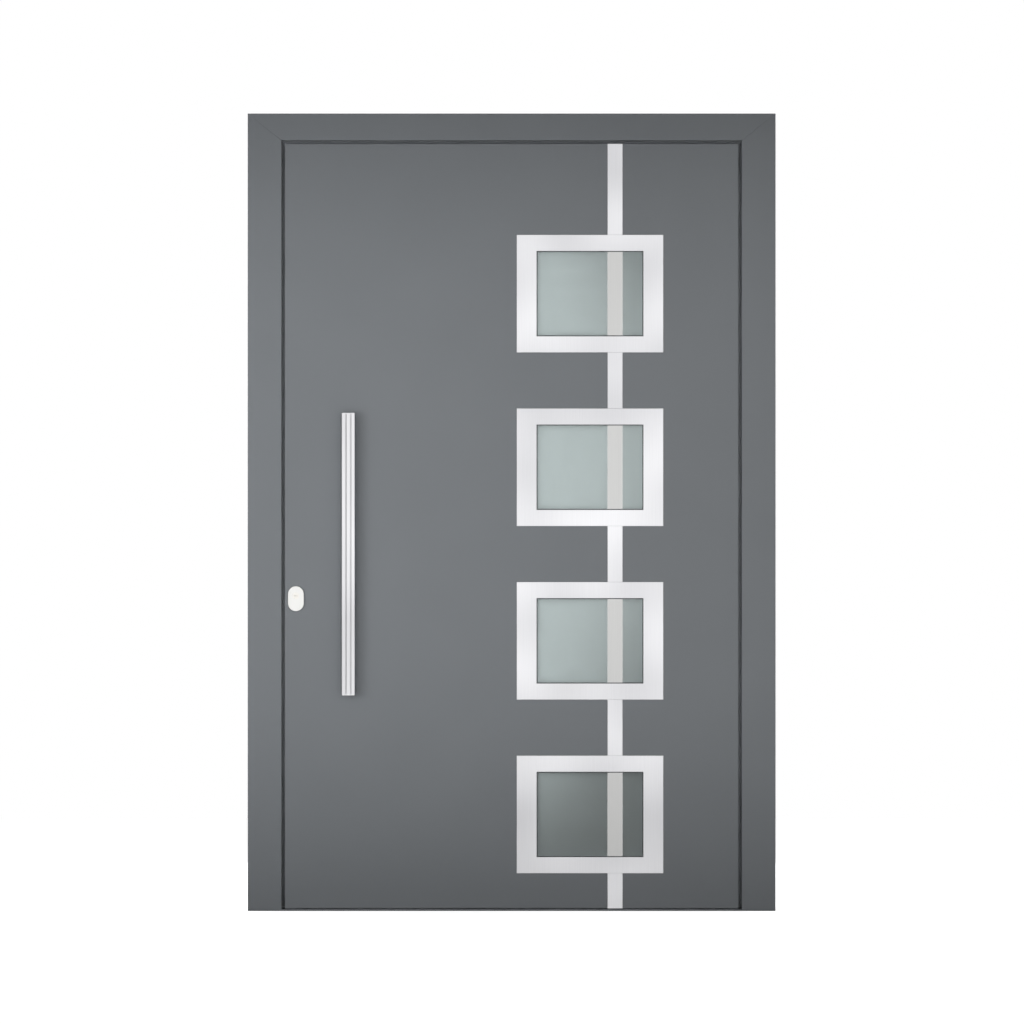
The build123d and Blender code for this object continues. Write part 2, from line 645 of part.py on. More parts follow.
def bolt_set():
    """Deadbolt, latch and round bolts, drawn back flush with the faceplate."""
    half = BOLT_T / 2
    deadbolt = block(FACEPLATE_X, FACEPLATE_X + DEADBOLT_LENGTH, LOCK_Y - half, LOCK_Y + half,
                     DEADBOLT_Z - DEADBOLT_H / 2, DEADBOLT_Z + DEADBOLT_H / 2)
    deadbolt = chamfer(deadbolt.faces().sort_by(Axis.X)[0].edges(), DEADBOLT_CHAMFER)
    end = FACEPLATE_X + LATCH_LENGTH
    outline = polygon([(FACEPLATE_X, LOCK_Y - half), (FACEPLATE_X + LATCH_BEVEL, LOCK_Y + half),
                       (end, LOCK_Y + half), (end, LOCK_Y - half)])
    latch = along_z(outline, LATCH_Z - LATCH_H / 2, LATCH_Z + LATCH_H / 2)
    rounds = []
    for z in (AUX_LOW_Z, AUX_HIGH_Z):
        pin = along_x(Circle(PIN_BOLT_R), FACEPLATE_X, FACEPLATE_X + PIN_BOLT_LENGTH, LOCK_Y, z)
        rounds.append(chamfer(pin.faces().sort_by(Axis.X)[0].edges(), PIN_BOLT_DOME))
    return deadbolt, latch, rounds


def bolt_holes(clear):
    """Ways for the bolts through the faceplate and the case fronts."""
    half = BOLT_T / 2 + clear
    x0, x1 = FACEPLATE_X, CASE_X + CASE_WALL
    ways = []
    for z, height in ((DEADBOLT_Z, DEADBOLT_H), (LATCH_Z, LATCH_H)):
        reach = height / 2 + clear
        ways.append(block(x0, x1, LOCK_Y - half, LOCK_Y + half, z - reach, z + reach))
    for z in (AUX_LOW_Z, AUX_HIGH_Z):
        ways.append(along_x(Circle(PIN_BOLT_R + clear), x0, x1, LOCK_Y, z))
    return ways


def case_blocks(grow, wall):
    """Main and auxiliary lock cases as blocks, grown outward or drawn in by a wall."""
    half = CASE_T / 2 + grow - wall
    spans = [(CYLINDER_Z - CASE_BELOW, CYLINDER_Z + CASE_ABOVE, CASE_DEPTH)]
    spans += [(z - AUX_CASE_H / 2, z + AUX_CASE_H / 2, AUX_CASE_DEPTH) for z in (AUX_LOW_Z, AUX_HIGH_Z)]
    return [block(CASE_X + wall, CASE_X + depth + grow - wall, LOCK_Y - half, LOCK_Y + half,
                  low - grow + wall, high + grow - wall) for low, high, depth in spans]


def lock_cylinder():
    """Cylinder body, plug with its rotor, cam and thumb turn."""
    x, z = CYLINDER_X, CYLINDER_Z
    y0 = Y_OUT - ESC_SKIN
    y1 = Y_IN + INNER_ESC_T
    body = along_y(profile_sketch(0), x, z, y0, y1)
    body = body - along_y(Circle(PLUG_R + PLUG_FIT), x, z, y0, y1)
    notch = CAM_NOTCH_W / 2
    bridge_top = z - WEB_DROP - WEB_W / 2 + CAM_BRIDGE_H
    body = body - block(x - BARREL_R, x + BARREL_R, LOCK_Y - notch, LOCK_Y + notch, bridge_top, z + BARREL_R)
    front = Y_OUT - ESC_T + ROTOR_INSET
    knob_y = y1 + KNOB_GAP
    plug = along_y(Circle(PLUG_R), x, z, y0, knob_y)
    plug = plug + along_y(Circle(ROTOR_R), x, z, front, y0 - PLUG_FIT)
    plug = plug + along_y(Circle(PLUG_R), x, z, y0 - PLUG_FIT, y0)
    plug = plug - along_y(Rectangle(KEY_SLOT_W, KEY_SLOT_H), x, z, front, front + KEY_SLOT_D)
    nose = rect(-CAM_NOSE_W / 2, CAM_NOSE_W / 2, -CAM_REACH + CAM_NOSE_W / 2, 0)
    tip = Pos(0, -CAM_REACH + CAM_NOSE_W / 2) * Circle(CAM_NOSE_W / 2)
    cam_sketch = Circle(CAM_RING_R) + nose + tip - Circle(PLUG_R)
    cam = along_y(cam_sketch, x, z, LOCK_Y - CAM_W / 2, LOCK_Y + CAM_W / 2)
    disc = along_y(Circle(KNOB_R), x, z, knob_y, knob_y + KNOB_DISC_T)
    disc = chamfer(disc.faces().sort_by(Axis.Y)[-1].edges(), KNOB_CHAMFER)
    grip_y = knob_y + KNOB_DISC_T
    grip = along_y(SlotOverall(2 * KNOB_R, KNOB_GRIP_W), x, z, grip_y - KNOB_CHAMFER, grip_y + KNOB_GRIP_D)
    grip = chamfer(grip.faces().sort_by(Axis.Y)[-1].edges(), KNOB_CHAMFER)
    return body, plug, cam, disc + grip


def oval(width, height):
    """Upright oval with straight sides."""
    return SlotOverall(height, width, rotation=90)


def escutcheons():
    """Oval cover outside, with its fine inner ring and the rotor's hole, and the plate inside."""
    x, z = CYLINDER_X, CYLINDER_Z
    cover = along_y(oval(ESC_W, ESC_H), x, ESC_Z, Y_OUT - ESC_T, Y_OUT)
    cover = chamfer(cover.faces().sort_by(Axis.Y)[0].edges(), ESC_CHAMFER)
    inset = 2 * ESC_RING_INSET
    line = 2 * ESC_RING_W
    groove = oval(ESC_W - inset, ESC_H - inset) - oval(ESC_W - inset - line, ESC_H - inset - line)
    cover = cover - along_y(groove, x, ESC_Z, Y_OUT - ESC_T, Y_OUT - ESC_T + ESC_RING_D)
    cover = cover - along_y(Circle(ROTOR_R + ROTOR_FIT), x, z, Y_OUT - ESC_T, Y_OUT)
    cover = cover - along_y(profile_sketch(PROFILE_CLEAR), x, z, Y_OUT - ESC_SKIN - PLUG_FIT, Y_OUT)
    plate = along_y(oval(ESC_W, ESC_H), x, ESC_Z, Y_IN, Y_IN + INNER_ESC_T)
    plate = chamfer(plate.faces().sort_by(Axis.Y)[-1].edges(), ESC_CHAMFER)
    plate = plate - along_y(profile_sketch(CASE_CLEAR), x, z, Y_IN, Y_IN + INNER_ESC_T)
    return cover, plate


def lever_set():
    """Rose, lever, square spindle and the follower inside the lock case."""
    x, z = CYLINDER_X, LEVER_Z
    rose = along_y(Circle(ROSE_R), x, z, Y_IN, Y_IN + ROSE_T)
    rose = chamfer(rose.faces().sort_by(Axis.Y)[-1].edges(), ROSE_CHAMFER)
    rose = rose - along_y(Circle(NECK_R + NECK_FIT), x, z, Y_IN, Y_IN + ROSE_T)
    arm_y = Y_IN + LEVER_STAND
    neck = along_y(Circle(NECK_R), x, z, Y_IN + NECK_START, arm_y + LEVER_ROUND)
    half = LEVER_H / 2
    arm = block(x - half, x + LEVER_LENGTH, arm_y, arm_y + LEVER_T, z - half, z + half)
    arm = fillet(arm.edges(), LEVER_ROUND)
    spindle = along_y(Rectangle(SPINDLE_W, SPINDLE_W), x, z, LOCK_Y - CASE_T / 2,
                      Y_IN + NECK_START + SPINDLE_IN_NECK)
    lever = neck + arm - spindle
    inside = BOLT_T / 2
    follower = along_y(Circle(FOLLOWER_R), x, z, LOCK_Y - inside, LOCK_Y + inside)
    follower = follower + along_y(Circle(FOLLOWER_BOSS_R), x, z, LOCK_Y - CASE_T / 2, LOCK_Y + CASE_T / 2)
    return rose, lever, spindle, follower - spindle


def drop_seal():
    """Channel in the bottom rail and the lowered seal bar in it."""
    half = SEAL_HOUSING_W / 2
    wall = SEAL_HOUSING_T
    top = LEAF_Z0 + SEAL_HOUSING_H
    channel = rect(LOCK_Y - half, LOCK_Y + half, LEAF_Z0, top)
    channel = channel - rect(LOCK_Y - half + wall, LOCK_Y + half - wall, LEAF_Z0, top - wall)
    bar_half = half - wall - BOLT_CLEAR
    low = LEAF_Z0 + SEAL_BAR_DROP
    lip = SEAL_LIP_W / 2
    tip = SILL_T + SEAL_TOUCH
    right = [(LOCK_Y + lip / 2, tip), (LOCK_Y + lip, low - SEAL_TOUCH),
             (LOCK_Y + bar_half, low), (LOCK_Y + bar_half, low + SEAL_BAR_H)]
    left = [(2 * LOCK_Y - y, z) for y, z in reversed(right)]
    housing = along_x(channel, -CORE_X, CORE_X)
    bar = along_x(polygon(right + left), -CORE_X + SEAL_END, CORE_X - SEAL_END)
    return housing, bar


def build():
    """Make every piece and write it."""
    os.makedirs("parts", exist_ok=True)
    plates, pockets = strike_plates()
    frame_flags, leaf_flags, pins = hinges()

    # Frame
    left_bars, right_bars, top_bars = frame_bars()
    gasket = stop_gasket()
    jamb_shells = [left_member(frame_outer_section(JAMB_FACE), FRAME_X, STOP_X, 0, FRAME_H, STOP_Z),
                   left_member(frame_inner_section(JAMB_INNER), FRAME_X, REBATE_X, 0, FRAME_H, REBATE_Z)]
    head_shells = [top_member(frame_outer_section(HEAD_FACE), FRAME_X, STOP_X, FRAME_H, STOP_Z),
                   top_member(frame_inner_section(HEAD_INNER), FRAME_X, REBATE_X, FRAME_H, REBATE_Z)]
    fixing_y = (FRAME_BREAK_Y1 + Y_IN) / 2
    fixings = [along_x(Circle(FIXING_R), -FRAME_X, -REBATE_X, fixing_y, z)
               for z in (FIXING_LOW_Z, FIXING_HIGH_Z)]
    jamb_outer = cut(jamb_shells[0], left_bars + gasket[:2])
    jamb_inner = cut(jamb_shells[1], left_bars + fixings)
    save("lock_jamb", jamb_outer, cut(jamb_inner, pockets))
    save("hinge_jamb", mirrored(jamb_outer), mirrored(jamb_inner))
    head_bars = left_bars + right_bars + top_bars
    save("frame_head", cut(head_shells[0], head_bars + gasket), cut(head_shells[1], head_bars))
    save("frame_thermal_bars", *left_bars, *right_bars, *top_bars)
    save("frame_corner_cleats", *[cut(cleat, head_shells) for cleat in frame_cleats()])
    save("frame_stop_gasket", *gasket)
    save("threshold_plate", threshold())
    save("main_strike_plate", plates[0])
    save("auxiliary_strike_plates", *plates[1:])
    save("hinge_frame_flags", *frame_flags)
    save("hinge_pins", *pins)

    # Leaf: windows, pull bar and lock first, since the sheets and members are cut to them
    glazing = windows()
    bar, caps, posts, studs, stud_holes = pull_bar()
    cover, inner_cover = escutcheons()
    body, plug, cam, knob = lock_cylinder()
    rose, lever, spindle, follower = lever_set()
    deadbolt, latch, rounds = bolt_set()
    cylinder_way = along_y(profile_sketch(PROFILE_CLEAR), CYLINDER_X, CYLINDER_Z, Y_OUT, Y_IN)
    lever_way = along_y(Circle(NECK_R + NECK_HOLE_CLEAR), CYLINDER_X, LEVER_Z, LOCK_Y + CASE_T / 2, Y_IN)
    outer_sheet = block(-LEAF_X, LEAF_X, Y_OUT, LEAF_Y0, LEAF_Z0, LEAF_Z)
    inner_sheet = block(-LEAF_EDGE_X, LEAF_EDGE_X, LEAF_Y1, Y_IN, LEAF_Z0, LEAF_EDGE_Z)
    core = block(-CORE_X, CORE_X, LEAF_Y0, LEAF_Y1, CORE_Z0, CORE_Z1)
    save("outer_sheet", cut(outer_sheet, glazing["hole"] + stud_holes + [cylinder_way]))
    save("inner_sheet", cut(inner_sheet, glazing["hole"] + [cylinder_way, lever_way]))
    save("insulating_core", cut(core, glazing["hole"] + studs))

    # Stiles, rails and what is in their edges
    stile_bars, hinge_bars, rail_bars, low_bars = leaf_bars()
    left, right, top, bottom = leaf_members(stile_bars, hinge_bars, rail_bars, low_bars)
    case_room = case_blocks(CASE_CLEAR, 0)
    half = PLATE_W / 2
    faceplate = block(FACEPLATE_X, CASE_X, LOCK_Y - half, LOCK_Y + half, FACEPLATE_LOW_Z, FACEPLATE_HIGH_Z)
    save("lock_stile", cut(left[0], [cylinder_way]), cut(left[1], case_room + [cylinder_way, lever_way]))
    save("hinge_stile", *right)
    save("top_rail", *top)
    save("bottom_rail", *bottom)
    save("leaf_thermal_bars", *stile_bars, *hinge_bars, *rail_bars, *low_bars)
    save("leaf_corner_cleats", *leaf_cleats())
    save("lock_faceplate", cut(faceplate, bolt_holes(BOLT_CLEAR)))
    follower_way = along_y(Circle(FOLLOWER_BOSS_R + FOLLOWER_FIT), CYLINDER_X, LEVER_Z,
                           LOCK_Y - CASE_T / 2, LOCK_Y + CASE_T / 2)
    ways = bolt_holes(BOLT_CLEAR) + [cylinder_way, follower_way]
    cases = [cut(outer - inner, ways) for outer, inner in zip(case_blocks(0, 0), case_blocks(0, CASE_WALL))]
    save("lock_case", cases[0])
    save("auxiliary_lock_cases", *cases[1:])
    save("hinge_leaf_flags", *leaf_flags)
    housing, seal_bar = drop_seal()
    save("drop_seal_housing", housing)

    # Windows, steel inlay and handles
    for number, piece in enumerate(glazing["trim"], 1):
        save(f"window_trim_{number}", piece)
    for number, piece in enumerate(glazing["outer"], 1):
        save(f"outer_pane_{number}", piece)
    save("steel_strips", *steel_strips())
    save("inner_panes", *glazing["inner"])
    save("glazing_spacers", *glazing["spacer"])
    save("pane_strips", *glazing["strip"])
    save("glazing_tapes", *glazing["tape"])
    save("inner_window_frames", *glazing["liner"])
    save("pull_bar", bar)
    save("pull_bar_end_caps", *caps)
    save("pull_bar_posts", *posts)
    save("pull_bar_studs", *studs)
    save("outer_escutcheon", cover)
    save("inner_escutcheon", inner_cover)
    save("lever_rose", rose)
    save("cylinder_body", body)

    # Moving pieces
    save("cylinder_plug", plug)
    save("cylinder_cam", cam)
    save("thumb_turn", knob)
    save("lever_handle", lever)
    save("lever_spindle", spindle)
    save("lever_follower", follower)
    save("latch_bolt", latch)
    save("deadbolt", deadbolt)
    save("auxiliary_bolts", *rounds)
    save("drop_seal_bar", seal_bar)


build()
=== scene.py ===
import math

import bmesh
import bpy
from bpy.props import FloatProperty, FloatVectorProperty, PointerProperty
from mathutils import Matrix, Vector


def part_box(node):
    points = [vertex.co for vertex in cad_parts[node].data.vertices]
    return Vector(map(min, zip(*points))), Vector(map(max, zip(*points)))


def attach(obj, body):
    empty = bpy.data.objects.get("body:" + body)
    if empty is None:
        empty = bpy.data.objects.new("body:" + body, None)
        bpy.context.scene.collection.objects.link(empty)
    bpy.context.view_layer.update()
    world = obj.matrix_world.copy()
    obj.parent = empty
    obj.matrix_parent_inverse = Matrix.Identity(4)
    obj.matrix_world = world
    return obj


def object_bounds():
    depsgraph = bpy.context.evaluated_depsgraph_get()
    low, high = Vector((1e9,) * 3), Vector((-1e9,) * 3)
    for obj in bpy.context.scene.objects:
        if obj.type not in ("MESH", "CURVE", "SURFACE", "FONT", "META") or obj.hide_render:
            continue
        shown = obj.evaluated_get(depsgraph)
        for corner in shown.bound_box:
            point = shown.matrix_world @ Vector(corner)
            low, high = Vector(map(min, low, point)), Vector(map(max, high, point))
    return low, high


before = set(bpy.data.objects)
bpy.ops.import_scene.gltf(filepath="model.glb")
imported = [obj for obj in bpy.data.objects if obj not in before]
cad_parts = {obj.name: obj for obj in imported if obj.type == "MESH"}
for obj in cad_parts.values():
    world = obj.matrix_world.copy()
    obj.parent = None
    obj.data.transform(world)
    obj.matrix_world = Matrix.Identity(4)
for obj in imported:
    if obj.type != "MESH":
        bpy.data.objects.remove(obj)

bl_info = {
    "name": "Entrance door",
    "version": (1, 0, 0),
    "blender": (4, 5, 0),
    "location": "3D View > Sidebar > Door",
    "description": "Finishes the packed entrance door and sets it in a soft studio",
    "category": "Object",
}

CAD_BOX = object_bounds()
MM = 0.001
PAD_RIBS = 5

# Rounded edges: reach of the weld before the rounding, the angle that counts as sharp, and the segments
WELD_REACH = 0.002 * MM
SHARP_ANGLE = math.radians(50)
EDGE_SEGMENTS = 2

# Rings of a screw head from the plate up, as shares of the head's radius and of its rise, then the rings
# of its hexagon socket from the rim down, as shares of the socket's reach and of the head's rise
HEAD_SHARES = [(1.0, -0.2), (1.0, 0.25), (0.9, 0.75), (0.72, 1.0)]
SOCKET_SHARES = [(1.12, 1.0), (1.0, 0.85), (1.0, 0.1)]
RING_CORNERS = 24
HEXAGON_STEP = math.tau / 6

# Share of the slow painted sheen in the tone of brushed steel, beside its fine lines
PAINTED_SHEEN_SHARE = 0.75

# Floor: half its side and its drop under the threshold in metres, its cells a side, and its own glow,
# and the drop of the card that lies just over it
FLOOR_REACH = 9.0
FLOOR_DROP = 0.5 * MM
FLOOR_CELLS = 8
FLOOR_GLOW = 0.885
CARD_DROP = 0.3 * MM

# Strength of the world for the camera, and for the light that falls on the door
WORLD_SEEN = 1.0
WORLD_LIGHT = 0.12

# Camera: its lens and sensor in millimetres, as Blender counts them, and its far limit in metres
LENS = 400.0
SENSOR = 36.0
FAR_LIMIT = 200.0

# Sockets of a Mix node, whose names repeat: its inputs for values and for colours, and its mixed colour
FACTOR, VALUE_A, VALUE_B, COLOUR_A, COLOUR_B, MIXED = 0, 2, 3, 6, 7, 2
# Sockets of a Mix Shader node, whose first is the factor too
SHADER_A, SHADER_B = 1, 2

# The photograph in pixels: its side, and the frame's edges in it
PHOTO_SIDE = 1024
FRAME_LEFT, FRAME_RIGHT = 247.6, 775.7
FRAME_TOP, FRAME_BOTTOM = 113.5, 911.0

# Nodes of one finish
COATED_FRAME = ["lock_jamb", "hinge_jamb", "frame_head", "threshold_plate"]
COATED_LEAF = ["outer_sheet", "inner_sheet", "lock_stile", "hinge_stile", "top_rail", "bottom_rail",
               "inner_window_frames"]
COATED_HINGES = ["hinge_frame_flags", "hinge_leaf_flags"]
WINDOW_NUMBERS = range(1, 5)
STEEL_INLAY = [f"window_trim_{n}" for n in WINDOW_NUMBERS] + ["steel_strips"]
OUTER_PANES = [f"outer_pane_{n}" for n in WINDOW_NUMBERS]
PULL_PIECES = ["pull_bar", "pull_bar_end_caps", "pull_bar_posts"]
LOCK_PLATES = ["lock_faceplate", "main_strike_plate", "auxiliary_strike_plates"]
TURNED_STEEL = ["outer_escutcheon", "inner_escutcheon", "lever_rose", "thumb_turn", "lever_handle"]
PLATED_STEEL = ["hinge_pins", "lock_case", "auxiliary_lock_cases", "pull_bar_studs", "cylinder_cam",
                "lever_spindle", "lever_follower", "latch_bolt", "deadbolt", "auxiliary_bolts"]
PLATED_BRASS = ["cylinder_body", "cylinder_plug"]
PLAIN_ALUMINIUM = ["frame_corner_cleats", "leaf_corner_cleats", "drop_seal_housing", "glazing_spacers"]
RUBBER = ["frame_stop_gasket", "drop_seal_bar"]
THERMAL_BARS = ["frame_thermal_bars", "leaf_thermal_bars"]


def linear(code):
    """Linear colour of an sRGB hex value, with a full alpha."""
    channels = [int(code[i:i + 2], 16) / 255 for i in (0, 2, 4)]
    return [c / 12.92 if c <= 0.04045 else ((c + 0.055) / 1.055) ** 2.4 for c in channels] + [1.0]


def colour(name, description, code):
    """Colour property with its default from a hex value."""
    return FloatVectorProperty(name=name, description=description, subtype="COLOR", size=4,
                               min=0.0, max=1.0, default=linear(code))


def length(name, description, millimetres):
    """Length property with its default in millimetres."""
    return FloatProperty(name=name, description=description, subtype="DISTANCE", unit="LENGTH",
                         min=0.0, default=millimetres * MM)


class DoorSizes(bpy.types.PropertyGroup):
    """Sizes of the rounded edges, the small screws and the end pads, and of what carries them."""
    coat_edge: length("Coated edge", "Radius of an edge under the powder coat", 0.5)
    steel_edge: length("Steel edge", "Radius of a broken steel edge", 0.35)
    screw_radius: length("Screw head radius", "Radius of a raised countersunk head", 5.0)
    screw_rise: length("Screw head rise", "Height of the head over its plate", 1.2)
    screw_socket: length("Screw socket", "Distance from the socket's middle to a flat", 1.6)
    screw_edge: length("Screw edge", "Distance of a strike screw from the plate's end", 11.0)
    pad_gap: length("Pad gap", "Gap between an end pad and what stands beside it", 0.4)
    pad_depth: length("Pad depth", "Depth of an end pad", 15.0)
    pad_base: length("Pad base", "Height of the valleys between an end pad's ribs", 0.9)
    pad_rib: length("Pad rib", "Height of an end pad's ribs", 1.8)
    hinge_height: length("Hinge height", "Height of one hinge", 120.0)
    hinge_flag: length("Hinge flag", "Thickness of a hinge flag", 5.0)
    hinge_screw_inset: length("Hinge screw inset", "Distance of a hinge screw from the flag's end", 16.0)
    hinge_screw_edge: length("Hinge screw edge", "Distance of a hinge screw from the flag's side", 14.0)
    strike_height: length("Small strike height", "Height of an auxiliary strike plate", 55.4)
    case_screw_gap: length("Faceplate screw gap", "Distance of a faceplate screw from its lock case", 15.0)


class DoorPatterns(bpy.types.PropertyGroup):
    """Sizes of the patterns in the finishes, as drawn."""
    coat_grain: length("Coat grain", "Width of one grain of the powder coat", 3.0)
    coat_cloud: length("Coat cloud", "Width of one faint cloud of the powder coat", 220.0)
    brush_line: length("Brush line", "Width of one brushed line", 2.2)
    brush_run: length("Brush run", "Length of one brushed line", 160.0)
    # Painted sheen: slow lighter and darker patches in the steel's colour that stand in for reflections
    painted_sheen: length("Painted sheen", "Width of one slow patch of painted sheen", 180.0)
    steel_haze: length("Steel haze", "Width of one patch of haze on satin-polished steel", 1.2)
    etch_grain: length("Etch grain", "Width of the satin etching's clouding", 45.0)
    roller_wave: length("Roller wave", "Width of one wave in the float glass", 90.0)
    rubber_bloom: length("Rubber bloom", "Width of one patch of bloom on the rubber", 12.0)
    tape_cell: length("Tape cell", "Width of one cell of the glazing tape", 2.0)
    die_line: length("Die line", "Width of one line from the extrusion die", 1.5)
    die_run: length("Die run", "Length of one line from the extrusion die", 400.0)
    zinc_blotch: length("Zinc blotch", "Width of one blotch in the zinc", 9.0)
    turning_mark: length("Turning mark", "Width of one turning mark on the cylinder", 0.8)
    fibre_width: length("Fibre width", "Width of one streak of glass fibre", 1.0)
    fibre_run: length("Fibre run", "Length of one streak of glass fibre", 25.0)
    foam_cell: length("Foam cell", "Width of one cell of the core's foam", 1.5)
    floor_roller: length("Floor roller", "Width of one mark of the roller on the floor", 60.0)


class DoorColours(bpy.types.PropertyGroup):
    """Colours of the finishes."""
    coat: colour("Coat", "Grey powder coat", "787D82")
    coat_deep: colour("Coat, deep", "Powder coat in its darker clouds", "73787D")
    # The steel's bright and dark ends are mixed by its fine brushed lines and by its painted sheen
    steel: colour("Steel", "Brushed stainless steel where it is bright", "EDEDEF")
    steel_deep: colour("Steel, deep", "Brushed stainless steel where it is dark", "B3B3B6")
    satin_steel: colour("Satin steel", "Satin-polished steel castings", "D9D9D7")
    satin_steel_deep: colour("Satin steel, deep", "Satin-polished steel under its haze", "D4D4D2")
    satin: colour("Satin glass", "Etched greenish glass", "C9D1D2")
    satin_deep: colour("Satin glass, deep", "Etched glass in its darker clouds", "C3CBCC")
    clear: colour("Clear glass", "Float glass", "F0F6F4")
    strip: colour("Bonded strip", "Steel strip on the glass", "C8C8C7")
    strip_deep: colour("Bonded strip, deep", "Steel strip in its darker lines", "BABAB9")
    tape: colour("Glazing tape", "Grey glazing tape", "64696B")
    tape_deep: colour("Glazing tape, deep", "Glazing tape in its cells", "44484A")
    rubber: colour("Rubber", "Black rubber", "1B1C1D")
    rubber_bloom: colour("Rubber bloom", "Dusty bloom on the rubber", "303132")
    aluminium: colour("Aluminium", "Plain extruded aluminium", "C4C6C8")
    aluminium_deep: colour("Aluminium, deep", "Plain aluminium in its die lines", "B0B2B4")
    zinc: colour("Zinc", "Zinc-plated steel", "B4B8BC")
    zinc_deep: colour("Zinc, deep", "Zinc plating in its bluish blotches", "9EA5AC")
    nickel: colour("Satin nickel", "Nickel on the cylinder's brass", "E2E0DB")
    nickel_deep: colour("Satin nickel, deep", "Nickel in its turning marks", "D2D0CB")
    polyamide: colour("Polyamide", "Glass-filled polyamide", "232425")
    fibre: colour("Glass fibre", "Fibre streaks in the polyamide", "3A3B3C")
    foam: colour("Foam", "Rigid insulating foam", "E6D9A6")
    foam_deep: colour("Foam, deep", "Insulating foam in its cells", "CDBE84")
    floor: colour("Floor", "Pale studio floor", "F6F6F5")
    floor_deep: colour("Floor, deep", "Studio floor in its roller marks", "F1F1F0")
    white: colour("White", "White of the world and of the floor's glow", "FFFFFF")


def sizes():
    """The sizes that the user can change."""
    return bpy.context.scene.door_sizes


def patterns():
    """The pattern sizes that the user can change."""
    return bpy.context.scene.door_patterns


def colours():
    """The colours that the user can change."""
    return bpy.context.scene.door_colours


def add_node(tree, kind, inputs=None, **settings):
    """Add a node with its settings; an input takes a value, a socket, or another node's first output."""
    node = tree.nodes.new(kind)
    for name, value in settings.items():
        setattr(node, name, value)
    for name, value in (inputs or {}).items():
        if isinstance(value, bpy.types.Node):
            value = value.outputs[0]
        if isinstance(value, bpy.types.NodeSocket):
            tree.links.new(value, node.inputs[name])
        else:
            node.inputs[name].default_value = value
    return node


def start_material(name):
    """New material, its empty node tree and the coordinates of the object that wears it."""
    made = bpy.data.materials.new(name)
    made.use_nodes = True
    tree = made.node_tree
    tree.nodes.clear()
    return made, tree, add_node(tree, "ShaderNodeTexCoord").outputs["Object"]


def powder_coated_aluminium():
    """Baked polyester powder: even mid grey, matt, with a fine sandy grain and very faint clouds."""
    material, tree, place = start_material("powder coated aluminium")
    # The real grain is about 0.3 mm wide, and is drawn coarser so that it shows
    grain = add_node(tree, "ShaderNodeTexNoise", {
        "Vector": place, "Scale": 1 / patterns().coat_grain, "Detail": 3.0, "Roughness": 0.6})
    cloud = add_node(tree, "ShaderNodeTexNoise", {
        "Vector": place, "Scale": 1 / patterns().coat_cloud, "Detail": 1.0})
    tone = add_node(tree, "ShaderNodeMix", {
        FACTOR: cloud, COLOUR_A: colours().coat_deep, COLOUR_B: colours().coat}, data_type="RGBA")
    gloss = add_node(tree, "ShaderNodeMapRange", {"Value": grain, "To Min": 0.46, "To Max": 0.62})
    bump = add_node(tree, "ShaderNodeBump", {"Height": grain, "Strength": 0.16, "Distance": 0.25 * MM})
    surface = add_node(tree, "ShaderNodeBsdfPrincipled", {
        "Base Color": tone.outputs[MIXED], "Roughness": gloss, "IOR": 1.5, "Normal": bump})
    add_node(tree, "ShaderNodeOutputMaterial", {"Surface": surface})
    return material


def brushed_stainless_steel():
    """Sheet steel brushed upright: silver, with long fine lines that smear reflections, and a slow painted
    sheen in its colour.
    """
    material, tree, place = start_material("brushed stainless steel")
    # The real lines are about 0.1 mm wide, and are drawn coarser so that they show
    across, along = 1 / patterns().brush_line, 1 / patterns().brush_run
    stretch = add_node(tree, "ShaderNodeMapping", {"Vector": place, "Scale": (across, across, along)})
    lines = add_node(tree, "ShaderNodeTexNoise", {
        "Vector": stretch, "Scale": 1.0, "Detail": 3.0, "Roughness": 0.6})
    # Painted sheen: slow lighter and darker patches of steel that stand in for reflections
    sheen = add_node(tree, "ShaderNodeTexNoise", {
        "Vector": place, "Scale": 1 / patterns().painted_sheen, "Detail": 0.0})
    both = add_node(tree, "ShaderNodeMix", {FACTOR: PAINTED_SHEEN_SHARE, VALUE_A: lines, VALUE_B: sheen})
    tone = add_node(tree, "ShaderNodeMix", {
        FACTOR: both, COLOUR_A: colours().steel_deep, COLOUR_B: colours().steel}, data_type="RGBA")
    gloss = add_node(tree, "ShaderNodeMapRange", {"Value": lines, "To Min": 0.26, "To Max": 0.44})
    bump = add_node(tree, "ShaderNodeBump", {"Height": lines, "Strength": 0.05, "Distance": 0.05 * MM})
    surface = add_node(tree, "ShaderNodeBsdfPrincipled", {
        "Base Color": tone.outputs[MIXED], "Metallic": 1.0, "Roughness": gloss, "Normal": bump})
    add_node(tree, "ShaderNodeOutputMaterial", {"Surface": surface})
    return material


def satin_polished_steel():
    """Satin-polished steel castings: a softer mirror than the sheet, with a fine even haze."""
    material, tree, place = start_material("satin polished stainless steel")
    # The real haze is about 0.2 mm wide, and is drawn coarser so that it shows
    haze = add_node(tree, "ShaderNodeTexNoise", {
        "Vector": place, "Scale": 1 / patterns().steel_haze, "Detail": 2.0})
    tone = add_node(tree, "ShaderNodeMix", {
        FACTOR: haze, COLOUR_A: colours().satin_steel_deep, COLOUR_B: colours().satin_steel},
        data_type="RGBA")
    gloss = add_node(tree, "ShaderNodeMapRange", {"Value": haze, "To Min": 0.24, "To Max": 0.38})
    bump = add_node(tree, "ShaderNodeBump", {"Height": haze, "Strength": 0.03, "Distance": 0.05 * MM})
    surface = add_node(tree, "ShaderNodeBsdfPrincipled", {
        "Base Color": tone.outputs[MIXED], "Metallic": 1.0, "Roughness": gloss, "Normal": bump})
    add_node(tree, "ShaderNodeOutputMaterial", {"Surface": surface})
    return material


